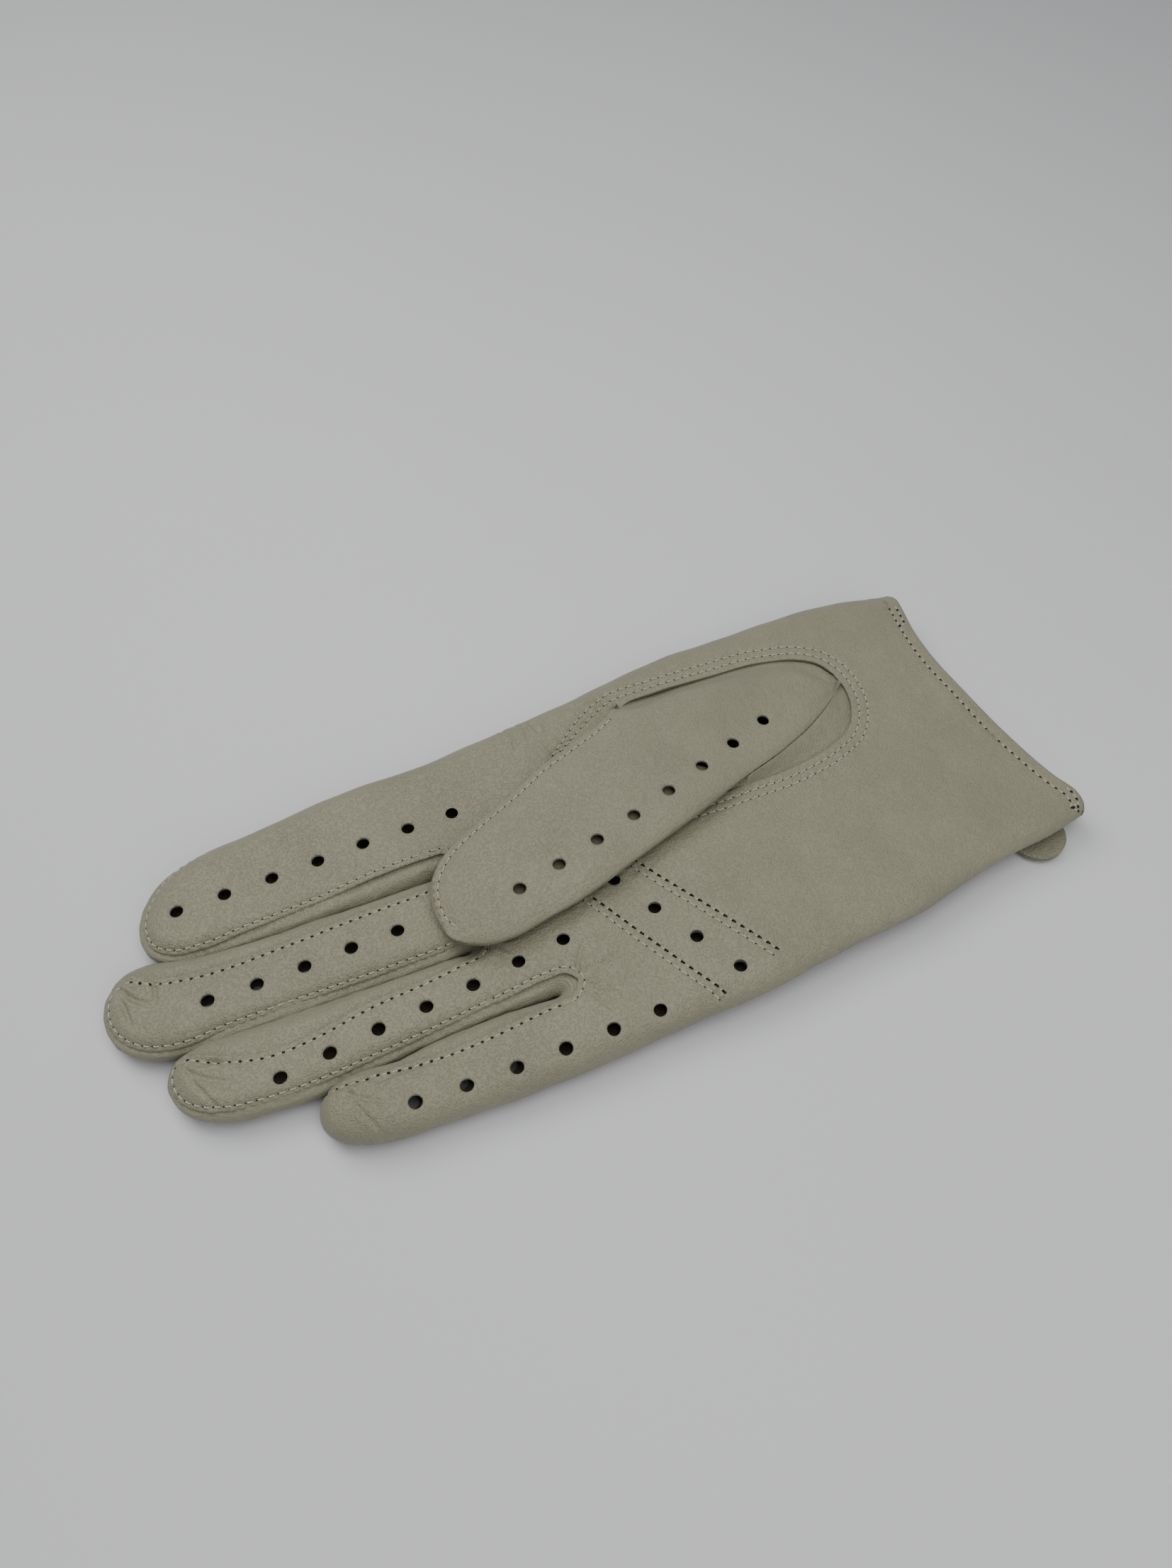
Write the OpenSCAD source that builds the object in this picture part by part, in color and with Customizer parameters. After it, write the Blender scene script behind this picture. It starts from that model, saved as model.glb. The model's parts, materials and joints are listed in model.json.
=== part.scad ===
// Right-hand leather driving glove, lying on its back with the palm up.
// It is drawn with the cuff near X = 0 and the fingers towards +X, the little
// finger on the +Y side, and is then moved so that the origin is the centre of its base.

/* [Leather] */
// Thickness of the glove leather
leather_t = 0.8; // [0.7:0.05:0.9]
// Width of the slits between the moving leather panels
slit_w = 0.6; // [0.6:0.05:0.8]
// Diameter of a punched vent hole
vent_d = 3.1; // [2.5:0.1:3.2]
// Distance between neighbouring vent holes in a row
vent_pitch = 11.75; // [11.5:0.05:11.8]

/* [Hand] */
// Distance of the index-side edge from the centre line at four stations from the cuff
index_edge = [46, 47.3, 44, 38.5]; // [38:0.5:48]
// Distance of the little-side edge from the centre line at the same stations
little_edge = [42, 49.5, 53.8, 56.3]; // [40:0.5:57]
// Distance from the cuff to the crotch beside the middle finger
crotch_x = 157; // [156:0.5:158]
// Distance from the cuff to the crotch beside the little finger
little_crotch_x = 141; // [140:0.5:142]
// Height of the palm surface above the table
palm_top = 12.8; // [12.6:0.1:13.2]
// Height of the back leather above the table at the wrist
wrist_lift = 5; // [4.9:0.1:5]

/* [Fingers] */
// Distance from the cuff to the fold line of the index, middle and ring fingers
fold_x = 166; // [165.5:0.5:167]
// Distance from the cuff to the fold line of the little finger
little_fold_x = 151; // [150.5:0.5:152]
// Height of the palm side of the fingers above the table
finger_top = 11.4; // [11:0.1:12]
// Length of each finger from its fold line: index, middle, ring, little
finger_l = [63.5, 74, 63.5, 49]; // [45:0.5:76]
// Width at the fold line: index, middle, ring, little
root_w = [33.7, 19.7, 17.9, 20.4]; // [16:0.1:34]
// Width where the tip starts to round: index, middle, ring, little
tip_w = [26.8, 21, 17.2, 17]; // [16:0.1:28]

/* [Thumb] */
// Height of the thumb, from the palm to its upper side
thumb_h = 7; // [6.5:0.1:8]
// Radius of the rounded thumb tip
thumb_tip_r = 16.6; // [16:0.1:17]
// Half length and half width of the hole that the thumb is sewn into
thumb_hole_size = [33, 17.2]; // [17:0.1:34]

/* [Wrist strap] */
// Width of the strap
strap_w = 15; // [14:0.5:16]
// Distance from the snap centre to the rounded end of the strap
strap_end = 14; // [12:0.5:15]
// Diameter of the snap cap
cap_d = 12; // [10:0.5:13]
// Diameter of the snap socket and of the base of the stud
snap_d = 9.4; // [9:0.1:10]
// Diameter of the stud knob
knob_d = 3.8; // [3.6:0.1:4]

/* [Hidden] */

$fn = 48;
eps = 0.01;
leather_colour = [0.60, 0.59, 0.51];
binding_colour = [0.56, 0.55, 0.47];
inside_colour = [0.50, 0.48, 0.34];
metal_colour = [0.72, 0.72, 0.70];

// Numbers of the fingers in the lists above
INDEX = 0;
MIDDLE = 1;
RING = 2;
LITTLE = 3;

// Fold line centre of each finger, and the angle that it points away from +X
finger_x = [fold_x, fold_x, fold_x, little_fold_x];
finger_y = [-19.4, 7.85, 27.25, 46.6];
finger_angle = [4, 1, 2.6, 0.5];
// Length of the rounded end of each finger
tip_l = [13, 12, 10, 11];
// Vent rows: first hole from the fold line, offset from the finger's middle, count
vent_start = [7, 6, 5.4, 6.4];
vent_side = [2.5, 3, 4.5, 4.5];
vent_count = [5, 5, 4, 3];
// Vents that each row goes on with in the palm leather
palm_vents = [2, 1, 3, 3];

// Stations of the hand's edges, and the curve of the cuff from the little side
edge_x = [2, 40, 85, 130];
cuff_curve = [[-1.5, 41.5], [-1.5, 32], [1.2, 22], [7, -3], [9.3, -20], [7.8, -34], [7.8, -45.5]];
binding_w = 5.5;
binding_t = 0.6;

// Middle and curve shape of the thumb hole
thumb_hole_at = [72, -12.5];
thumb_hole_power = 2.3;
// The thumb folds on this line; its leather starts a little to the palm side of it
thumb_fold_from = [40, -18];
thumb_fold_to = [100, -31.8];
thumb_tip_at = [146, 6];
thumb_near_edge = [[43, -17.2], [60, -6.2], [98, 8.8]];
thumb_far_end = [100, -30.4];
thumb_gap = 0.4;
// Width, across the fold line, of the way from the hand into the thumb
thumb_way_w = 18;

// The two diagonal rows of stitching hold a strip between these middles
band_from = [99, 50];
band_to = [123, 8];
band_w = 21;
band_vent_at = [101.5, 51];
band_vent_step = [6.2, -10.8];
band_vents = 6;

// Middle of the wrist vent, its round end, and the strap that crosses it
vent_at_y = 0;
vent_end_x = 42;
vent_end_r = 8.5;
vent_mouth_w = 9;
vent_binding_w = 2.2;
// The strap is placed from the snap's centre, and slants with the cuff
snap_at = [11.3, 32.8];
strap_slant = 8;
strap_fold = 45.8;
anchor_l = 24;
slope_l = 13;

// Heights of the stack at the wrist, from the table
cap_h = 1.4;
strap_t = 2 * leather_t;
strap_top = cap_h + strap_t;
socket_h = 1.1;
stud_base_h = 0.8;
shank_d = 2.4;
shank_hole_d = 2.7;
flange_h = 0.6;

// Back leather: level at the wrist, then down to the table before the knuckles
slope_from = 80;
slope_to = 125;
hand_end = 170;

// Centre of the base, measured on the finished outline
base_centre = [118.95, 4.94];

// ---- functions ----

// Smooth curve through the points p, with n steps from each to the next
function spline(p, n = 6) =
  let (q = concat([2 * p[0] - p[1]], p, [2 * p[len(p) - 1] - p[len(p) - 2]]))
  concat(
    [for (i = [1:len(q) - 3], k = [0:n - 1]) curve_point(q[i - 1], q[i], q[i + 1], q[i + 2], k / n)],
    [p[len(p) - 1]]
  );

function curve_point(a, b, c, d, t) =
  0.5 * (2 * b + (c - a) * t + (2 * a - 5 * b + 4 * c - d) * t * t + (3 * b - a - 3 * c + d) * t * t * t);

function reverse(p) = [for (i = [len(p) - 1:-1:0]) p[i]];

// Left-hand unit normal of the edge from a to b
function edge_normal(a, b) = let (d = (b - a) / norm(b - a)) [-d[1], d[0]];

// The closed outline p, which runs anticlockwise, moved inwards by d
function inset(p, d) = [
  for (i = [0:len(p) - 1])
    let (
      m = edge_normal(p[(i + len(p) - 1) % len(p)], p[i]),
      n = edge_normal(p[i], p[(i + 1) % len(p)])
    )
    p[i] + d * (m + n) / (1 + m * n)
];

// A point s along finger f from its fold line and t to the left of its middle.
// The fingers slant, but all of their fold lines run straight across the hand.
function on_finger(f, s, t) = [finger_x[f] + s, finger_y[f] + s * tan(finger_angle[f]) + t];

// The part of finger f from s = a to s = b and from t = c to t = d
function finger_part(f, a, b, c, d) = [
  on_finger(f, a, c),
  on_finger(f, b, c),
  on_finger(f, b, d),
  on_finger(f, a, d)
];

// Outline of finger f, with an elliptical tip
function finger_outline(f) =
  let (start = slit_w / 2, middle = finger_l[f] - tip_l[f])
  concat(
    [on_finger(f, start, root_w[f] / 2), on_finger(f, start, -root_w[f] / 2)],
    [for (a = [-90:12:90]) on_finger(f, middle + tip_l[f] * cos(a), tip_w[f] / 2 * sin(a))]
  );

// Ends of the stubs that the fingers fold on
function stub(f, side) = on_finger(f, -slit_w / 2, side * root_w[f] / 2);

// The two corners of the crotch between finger f and the next one
function crotch(f) =
  let (
    x = f == RING ? little_crotch_x : crotch_x,
    y = (stub(f, 1)[1] + stub(f + 1, -1)[1]) / 2
  )
  [[x, y - slit_w / 2], [x, y + slit_w / 2]];

index_side = spline(concat([for (i = [0:3]) [edge_x[i], -index_edge[i]]], [stub(INDEX, -1)]));
little_side = spline(concat([for (i = [0:3]) [edge_x[i], little_edge[i]]], [stub(LITTLE, 1)]));
cuff = spline(cuff_curve);

// Side edges start at the cuff's corners
index_wall = concat([cuff_curve[6]], [for (p = index_side) if (p[0] > 12) p]);
little_wall = concat([cuff_curve[0]], [for (p = little_side) if (p[0] > 4) p]);

hand_outline = concat(
  index_wall, [stub(INDEX, 1)],
  crotch(INDEX), [stub(MIDDLE, -1), stub(MIDDLE, 1)],
  crotch(MIDDLE), [stub(RING, -1), stub(RING, 1)],
  crotch(RING), [stub(LITTLE, -1)],
  reverse(little_wall), [for (i = [1:len(cuff) - 2]) cuff[i]]
);

// The strip of leather along the cuff that the binding covers
cuff_strip = concat(reverse([for (p = cuff) p + [binding_w, 0]]), cuff);

// A rounded oblong about the origin with half sizes s
function oblong(s, power) = [
  for (a = [0:8:352])
    [s[0] * sign(cos(a)) * pow(abs(cos(a)), 2 / power), s[1] * sign(sin(a)) * pow(abs(sin(a)), 2 / power)]
];

thumb_hole = [for (p = oblong(thumb_hole_size, thumb_hole_power)) p + thumb_hole_at];

thumb_outline = concat(
  [thumb_far_end],
  [for (a = [-68:8:108]) thumb_tip_at + thumb_tip_r * [cos(a), sin(a)]],
  reverse(spline(concat(thumb_near_edge, [thumb_tip_at + thumb_tip_r * [cos(116), sin(116)]])))
);

fold_direction = (thumb_fold_to - thumb_fold_from) / norm(thumb_fold_to - thumb_fold_from);
fold_across = [-fold_direction[1], fold_direction[0]];

// A strip beside the thumb's fold line, from a to b along it and c to d across it
function beside_fold(a, b, c, d) = [
  for (k = [[a, c], [b, c], [b, d], [a, d]]) thumb_fold_from + k[0] * fold_direction + k[1] * fold_across
];

// Outline of the wrist vent with the margin m round it, running out past the cuff
function vent_outline(m) = concat(
  [[-10, vent_at_y - vent_mouth_w / 2 - m]],
  [for (a = [-100:10:100]) [vent_end_x, vent_at_y] + (vent_end_r + m) * [cos(a), sin(a)]],
  [[-10, vent_at_y + vent_mouth_w / 2 + m]]
);

// ---- helpers ----

module place() {
  translate([-base_centre[0], -base_centre[1], 0]) children();
}

module slab(z, h) {
  translate([0, 0, z]) linear_extrude(h) children();
}

// The space over the hand's back leather, up to the underside of the palm
module over_back(lift) {
  translate([0, 100, 0]) rotate([90, 0, 0]) linear_extrude(200)
    polygon([
      [-20, wrist_lift + lift], [slope_from, wrist_lift + lift], [slope_to, lift], [hand_end, lift],
      [hand_end, palm_top - leather_t], [-20, palm_top - leather_t]
    ]);
}

// The back leather's own thickness, as a bent sheet
module back_sheet() {
  translate([0, 100, 0]) rotate([90, 0, 0]) linear_extrude(200)
    polygon([
      [-20, wrist_lift], [slope_from, wrist_lift], [slope_to, 0], [hand_end, 0],
      [hand_end, leather_t], [slope_to, leather_t], [slope_from, wrist_lift + leather_t],
      [-20, wrist_lift + leather_t]
    ]);
}

// A strip of leather standing along the edge curve p, on the inner side by +side
module edge_wall(p, side) {
  intersection() {
    slab(0, palm_top) polygon(concat(p, reverse([for (q = p) q + [0, side * leather_t]])));
    over_back(leather_t);
  }
}

// Vents of finger f, from number first to number last counted from the fold line
module finger_vents(f, first, last, side, z) {
  for (i = [first:last]) {
    p = on_finger(f, vent_start[f] + i * vent_pitch, side);
    translate([p[0], p[1], z - 1]) cylinder(d = vent_d, h = leather_t + 2);
  }
}

module vent_row(from, step, count, z) {
  for (i = [0:count - 1])
    translate([from[0] + i * step[0], from[1] + i * step[1], z - 1])
      cylinder(d = vent_d, h = leather_t + 2);
}

// Standing wall of finger f, on its left (1) or right (-1)
module finger_wall(f, side) {
  inner = root_w[f] / 2 - leather_t;
  slab(leather_t, finger_top - 2 * leather_t) intersection() {
    difference() {
      polygon(finger_outline(f));
      polygon(inset(finger_outline(f), leather_t));
      polygon(finger_part(f, 0, 2 * leather_t, -inner, inner));
    }
    polygon(finger_part(f, 0, finger_l[f] + 1, side > 0 ? 0 : -root_w[f], side > 0 ? root_w[f] : 0));
  }
}

module finger_palm(f) {
  difference() {
    slab(finger_top - leather_t, leather_t) polygon(finger_outline(f));
    finger_vents(f, 0, vent_count[f] - 1, vent_side[f], finger_top - leather_t);
  }
}

module finger_back(f) {
  difference() {
    slab(0, leather_t) polygon(finger_outline(f));
    finger_vents(f, 0, vent_count[f] - 1, 0, 0);
  }
}

// Leather that turns round the crotch between finger f and the next one
module crotch_wall(f) {
  c = crotch(f);
  low = stub(f, 1);
  high = stub(f + 1, -1);
  t = leather_t;
  slab(leather_t, palm_top - 2 * leather_t)
    polygon([
      c[0] + [-t, -t], low + [0, -t], low, c[0], c[1], high, high + [0, t], c[1] + [-t, t]
    ]);
}

// ---- hand ----

module palm_leather() {
  color(leather_colour) place() {
    difference() {
      slab(palm_top - leather_t, leather_t) polygon(hand_outline);
      slab(palm_top - 2 * leather_t, 3 * leather_t) polygon(thumb_hole);
      vent_row(band_vent_at, band_vent_step, band_vents, palm_top - leather_t);
      for (f = [INDEX:LITTLE]) finger_vents(f, -palm_vents[f], -1, vent_side[f], palm_top - leather_t);
    }
    edge_wall(little_wall, -1);
  }
}

module back_leather() {
  knuckle_y = [-21, 3, 24, 44];
  knuckle_x = [118, 120, 117, 110];
  color(leather_colour) place() {
    difference() {
      intersection() {
        back_sheet();
        slab(-1, palm_top) polygon(hand_outline);
      }
      slab(wrist_lift - 1, 3) polygon(vent_outline(0));
      for (i = [0:3]) translate([knuckle_x[i], knuckle_y[i]]) slab(-1, 5) polygon(oblong([4.5, 7], 2));
      translate([snap_at[0], snap_at[1], wrist_lift - 1]) cylinder(d = shank_hole_d, h = 3);
    }
    edge_wall(index_wall, 1);
  }
}

// Folded over the cuff's edge all round, and open where the wrist vent runs out
module cuff_binding() {
  lip = [for (p = cuff) p - [binding_t, 0]];
  edge = concat(lip, reverse(cuff));
  under_palm = palm_top - leather_t;
  over_wrist = wrist_lift + leather_t;
  index_corner = cuff_curve[6];
  little_corner = cuff_curve[0];
  color(binding_colour) place() {
    slab(palm_top, binding_t) polygon(cuff_strip);
    slab(under_palm, leather_t + binding_t) polygon(edge);
    difference() {
      union() {
        slab(wrist_lift - binding_t, binding_t) polygon(cuff_strip);
        slab(wrist_lift - binding_t, leather_t + binding_t) polygon(edge);
      }
      slab(0, palm_top) polygon(vent_outline(vent_binding_w));
    }
    translate([index_corner[0] - binding_t, index_corner[1], over_wrist])
      cube([binding_t, leather_t, under_palm - over_wrist]);
    translate([little_corner[0] - binding_t, little_corner[1] - leather_t, over_wrist])
      cube([binding_t, leather_t, under_palm - over_wrist]);
  }
}

module vent_binding() {
  color(binding_colour) place()
    slab(wrist_lift - binding_t, binding_t)
      intersection() {
        difference() {
          polygon(vent_outline(vent_binding_w));
          polygon(vent_outline(0));
        }
        polygon(hand_outline);
      }
}

module palm_band_backing() {
  along = (band_to - band_from) / norm(band_to - band_from);
  half = band_w / 2 * [-along[1], along[0]];
  color(inside_colour) place()
    difference() {
      slab(palm_top - 2 * leather_t, leather_t)
        intersection() {
          polygon([band_from - half, band_to - half, band_to + half, band_from + half]);
          polygon(concat([[crotch_x, 0], [0, 0]], [for (p = little_side) p - [0, 2 * leather_t]]));
        }
      vent_row(band_vent_at, band_vent_step, band_vents, palm_top - 2 * leather_t);
    }
}

// Part of the thumb leather that fills the palm side of the thumb hole
module thumb_gusset() {
  color(leather_colour) place()
    slab(palm_top - leather_t, leather_t) difference() {
      polygon(thumb_hole);
      polygon(beside_fold(-20, 90, -30, thumb_way_w));
    }
}

module index_middle_crotch() { color(leather_colour) place() crotch_wall(INDEX); }
module middle_ring_crotch() { color(leather_colour) place() crotch_wall(MIDDLE); }
module ring_little_crotch() { color(leather_colour) place() crotch_wall(RING); }

// ---- fingers ----

module index_palm_panel() { color(leather_colour) place() finger_palm(INDEX); }

// The back leather folds up round the outer side of the index finger
module index_back_panel() {
  color(leather_colour) place() {
    finger_back(INDEX);
    finger_wall(INDEX, -1);
  }
}

module index_fourchette() { color(leather_colour) place() finger_wall(INDEX, 1); }

module middle_palm_panel() { color(leather_colour) place() finger_palm(MIDDLE); }
module middle_back_panel() { color(leather_colour) place() finger_back(MIDDLE); }
module middle_fourchette_index_side() { color(leather_colour) place() finger_wall(MIDDLE, -1); }
module middle_fourchette_ring_side() { color(leather_colour) place() finger_wall(MIDDLE, 1); }

module ring_palm_panel() { color(leather_colour) place() finger_palm(RING); }
module ring_back_panel() { color(leather_colour) place() finger_back(RING); }
module ring_fourchette_middle_side() { color(leather_colour) place() finger_wall(RING, -1); }
module ring_fourchette_little_side() { color(leather_colour) place() finger_wall(RING, 1); }

// The palm leather rolls over the outer side of the little finger
module little_palm_panel() {
  color(leather_colour) place() {
    finger_palm(LITTLE);
    finger_wall(LITTLE, 1);
  }
}

module little_back_panel() { color(leather_colour) place() finger_back(LITTLE); }
module little_fourchette() { color(leather_colour) place() finger_wall(LITTLE, -1); }

// ---- thumb ----

// Side of the thumb's outline that lies on the palm side (1) or on the index side (-1)
module thumb_side(side) {
  middle = beside_fold(-20, 160, side > 0 ? thumb_way_w : -5, side > 0 ? 90 : thumb_way_w);
  intersection() {
    difference() {
      polygon(thumb_outline);
      polygon(inset(thumb_outline, leather_t));
    }
    polygon(middle);
  }
}

module thumb_front_leather() {
  z = palm_top + thumb_gap;
  along = norm(thumb_tip_at - thumb_fold_from) / vent_pitch;
  color(leather_colour) place() {
    difference() {
      slab(z + thumb_h - leather_t, leather_t) polygon(thumb_outline);
      vent_row([65, -13.5], [11.15, 3.5], floor(along) - 1, z + thumb_h - leather_t);
    }
    slab(z + leather_t, thumb_h - 2 * leather_t) thumb_side(-1);
  }
}

module thumb_back_leather() {
  z = palm_top + thumb_gap;
  color(leather_colour) place() {
    slab(z, leather_t) difference() {
      polygon(thumb_outline);
      polygon(beside_fold(17, 54, 2, thumb_way_w));
    }
    slab(z + leather_t, thumb_h - 2 * leather_t) thumb_side(1);
  }
}

// ---- strap and snap ----

// Everything on the strap is drawn from the snap's centre, with the strap's end towards +Y
module at_snap(z) {
  place() translate([snap_at[0], snap_at[1], z]) rotate([0, 0, strap_slant]) children();
}

// One layer of the strap, from its fold line to the rounded end
module strap_layer(z) {
  start = slit_w / 2 - strap_fold;
  round_end = strap_end - strap_w / 2;
  at_snap(z) linear_extrude(leather_t) difference() {
    union() {
      translate([-strap_w / 2, start]) square([strap_w, round_end - start]);
      translate([0, round_end]) circle(d = strap_w);
    }
    circle(d = shank_hole_d);
  }
}

module strap_leather() { color(leather_colour) strap_layer(cap_h); }
module strap_lining() { color(inside_colour) strap_layer(cap_h + leather_t); }

// Fixed end of the strap: it slopes up to the back leather, where it is sewn down
module strap_anchor() {
  y = -strap_fold - slit_w / 2;
  sewn_z = wrist_lift - strap_t;
  color(leather_colour) difference() {
    at_snap(0) translate([-strap_w / 2, 0, 0]) rotate([90, 0, 90]) linear_extrude(strap_w)
      polygon([
        [y, cap_h], [y, strap_top], [y - slope_l, wrist_lift], [y - anchor_l, wrist_lift],
        [y - anchor_l, sewn_z], [y - slope_l, sewn_z]
      ]);
    place() slab(wrist_lift - binding_t, 2 * binding_t) polygon(cuff_strip);
  }
}

module snap_cap() {
  chamfer = 0.6;
  color(metal_colour) at_snap(0) {
    cylinder(d1 = cap_d - 2 * chamfer, d2 = cap_d, h = chamfer);
    translate([0, 0, chamfer]) cylinder(d = cap_d, h = cap_h - chamfer);
    translate([0, 0, cap_h]) cylinder(d = shank_d, h = strap_t);
  }
}

module snap_socket() {
  color(metal_colour) at_snap(strap_top) difference() {
    cylinder(d = snap_d, h = socket_h);
    translate([0, 0, -1]) cylinder(d = knob_d + 0.4, h = socket_h + 2);
  }
}

module snap_stud() {
  base_z = wrist_lift - stud_base_h;
  knob_z = strap_top + 0.15;
  color(metal_colour) {
    at_snap(base_z) cylinder(d = snap_d, h = stud_base_h);
    at_snap(knob_z) cylinder(d = knob_d, h = base_z - knob_z + eps);
  }
}

module snap_post() {
  color(metal_colour) {
    at_snap(wrist_lift) cylinder(d = shank_d, h = leather_t + eps);
    at_snap(wrist_lift + leather_t) cylinder(d = snap_d, h = flange_h);
  }
}

palm_leather();
back_leather();
cuff_binding();
vent_binding();
palm_band_backing();
thumb_gusset();
index_middle_crotch();
middle_ring_crotch();
ring_little_crotch();
index_palm_panel();
index_back_panel();
index_fourchette();
middle_palm_panel();
middle_back_panel();
middle_fourchette_index_side();
middle_fourchette_ring_side();
ring_palm_panel();
ring_back_panel();
ring_fourchette_middle_side();
ring_fourchette_little_side();
little_palm_panel();
little_back_panel();
little_fourchette();
thumb_front_leather();
thumb_back_leather();
strap_anchor();
strap_leather();
strap_lining();
snap_cap();
snap_socket();
snap_stud();
snap_post();
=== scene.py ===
"""Right-hand leather driving glove, palm up on a pale floor.

Shapes are worked out in the glove's own millimetres: x runs from the cuff to the
fingertips, y towards the little finger and z up from the floor. to_row() turns
them into the frame's metres. Each leather panel is laid out flat, cut to its
outline, triangulated and then folded into place, with its own thickness.
"""
import json
import math

import bpy
import numpy as np
from mathutils import Matrix, Vector
from mathutils.geometry import delaunay_2d_cdt
from mathutils.kdtree import KDTree


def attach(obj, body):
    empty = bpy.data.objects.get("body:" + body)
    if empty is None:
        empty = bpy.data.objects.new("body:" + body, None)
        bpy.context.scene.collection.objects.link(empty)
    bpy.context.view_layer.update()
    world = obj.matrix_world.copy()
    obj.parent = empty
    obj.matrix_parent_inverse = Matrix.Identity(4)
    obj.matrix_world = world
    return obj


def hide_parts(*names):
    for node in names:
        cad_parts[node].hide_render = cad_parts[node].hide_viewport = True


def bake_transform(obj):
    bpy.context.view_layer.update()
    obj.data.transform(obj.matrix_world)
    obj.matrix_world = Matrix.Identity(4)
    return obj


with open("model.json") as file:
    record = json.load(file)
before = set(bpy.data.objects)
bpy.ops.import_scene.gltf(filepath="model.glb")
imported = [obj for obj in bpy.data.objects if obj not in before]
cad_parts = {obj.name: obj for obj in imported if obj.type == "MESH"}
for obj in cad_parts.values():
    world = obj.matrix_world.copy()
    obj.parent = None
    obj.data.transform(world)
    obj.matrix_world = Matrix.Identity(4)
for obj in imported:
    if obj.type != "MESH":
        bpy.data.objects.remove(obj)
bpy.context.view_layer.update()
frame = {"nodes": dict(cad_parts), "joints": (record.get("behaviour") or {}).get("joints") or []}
JOINTS = {j["name"]: j for j in frame["joints"]}

# The middle finger's fold line in the glove's own millimetres ties them to the frame
MIDDLE_FOLD = np.array([166.0, 7.85])
SHIFT = np.array([*(1000 * np.array(JOINTS["middle_curl"]["pos_m"][:2]) - MIDDLE_FOLD), 0.0])

LEATHER = 0.8          # thickness of the leather
ROLL = 6.0             # how far in from a silhouette the leather starts to curve down
QUARTER = ROLL * (1 - math.pi / 2)   # flat leather that comes to lie on the silhouette
STITCH = 2.4           # length of one stitch
SEAM_IN = 1.5          # from the cut edge of a panel to its stitching
THUMB_SEAM_IN = 1.9    # from the thumb's seamed edge to its stitching
VENT_R = 1.6
THREAD_R = 0.17
GRID = 0.95            # spacing of the mesh on plain leather
FINE = 0.40            # and beside seams and creases
EDGE = 0.5             # and along edges
HOLE_EDGE = 0.42       # and round holes
FINE_REACH = 3.0       # how far the fine mesh goes on both sides of a seam or crease
BEND_X = {"index": 160.0, "middle": 160.0, "ring": 160.0, "little": 145.0}
BEND = 12.0            # length of leather that bends at each finger's fold
FLOOR_GAP = 0.02
FINGERS = ("index", "middle", "ring", "little")


# ---------------------------------------------------------------- curves

def along(p):
    """Distance of each point of a polyline from its start."""
    return np.r_[0, np.cumsum(np.linalg.norm(np.diff(p, axis=0), axis=1))]


def interpolate(at, s, p):
    """Points of a polyline at distances along it, where s is the distance of each of its points."""
    return np.stack([np.interp(at, s, p[:, k]) for k in range(p.shape[1])], 1)


def resample(p, step):
    """Evenly spaced points on a polyline, about one step apart."""
    s = along(p)
    n = max(2, int(round(s[-1] / step)) + 1)
    return interpolate(np.linspace(0, s[-1], n), s, p)


def unit(v):
    """The rows of v at length one."""
    return v / np.maximum(np.linalg.norm(v, axis=1), 1e-12)[:, None]


def hermite(t, a, b, width, slope_a, slope_b):
    """A cubic from a to b with given slopes at its ends, where t goes from 0 to 1 over the width."""
    return (
        (2 * t**3 - 3 * t**2 + 1) * a + (t**3 - 2 * t**2 + t) * width * slope_a
        + (3 * t**2 - 2 * t**3) * b + (t**3 - t**2) * width * slope_b
    )


def smooth(points, step=EDGE):
    """Evenly spaced points on a smooth curve through the given ones."""
    p = np.array(points, float)
    d = np.linalg.norm(np.diff(p, axis=0), axis=1)
    v = np.diff(p, axis=0) / d[:, None]
    middle = (v[1:] * d[:-1, None] + v[:-1] * d[1:, None]) / (d[1:] + d[:-1])[:, None]
    m = np.vstack([v[:1], middle, v[-1:]])
    t = np.linspace(0, 1, 25)[:, None]
    parts = [hermite(t, p[i], p[i + 1], d[i], m[i], m[i + 1]) for i in range(len(d))]
    return resample(np.vstack(parts), step)


def profile(x, stations, values):
    """A smooth function of x through the given values."""
    s, v = np.array(stations, float), np.array(values, float)
    m = np.gradient(v, s)
    x = np.clip(x, s[0], s[-1])
    i = np.clip(np.searchsorted(s, x) - 1, 0, len(s) - 2)
    width = s[i + 1] - s[i]
    return hermite((x - s[i]) / width, v[i], v[i + 1], width, m[i], m[i + 1])


def ramp(x, a, b):
    """0 before a, 1 after b, and smooth between them."""
    t = np.clip((x - a) / (b - a), 0, 1)
    return t * t * (3 - 2 * t)


def bell(x, width):
    """1 where x is 0, falling off on both sides within about the width."""
    return np.exp(-((x / width) ** 2))


def ellipse(centre, rx, ry):
    """Points round an ellipse, about HOLE_EDGE apart."""
    n = max(16, int(2 * math.pi * max(rx, ry) / HOLE_EDGE))
    a = np.arange(n) * 2 * math.pi / n
    return np.array(centre) + np.stack([rx * np.cos(a), ry * np.sin(a)], 1)


def row(start, step, count, bow=0.0):
    """Evenly spaced places, with the middle of the row moved by bow."""
    t = np.arange(count)
    place = np.array(start) + t[:, None] * np.array(step)
    place[:, 1] += bow * np.sin(math.pi * t / max(1, count - 1))
    return place


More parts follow.
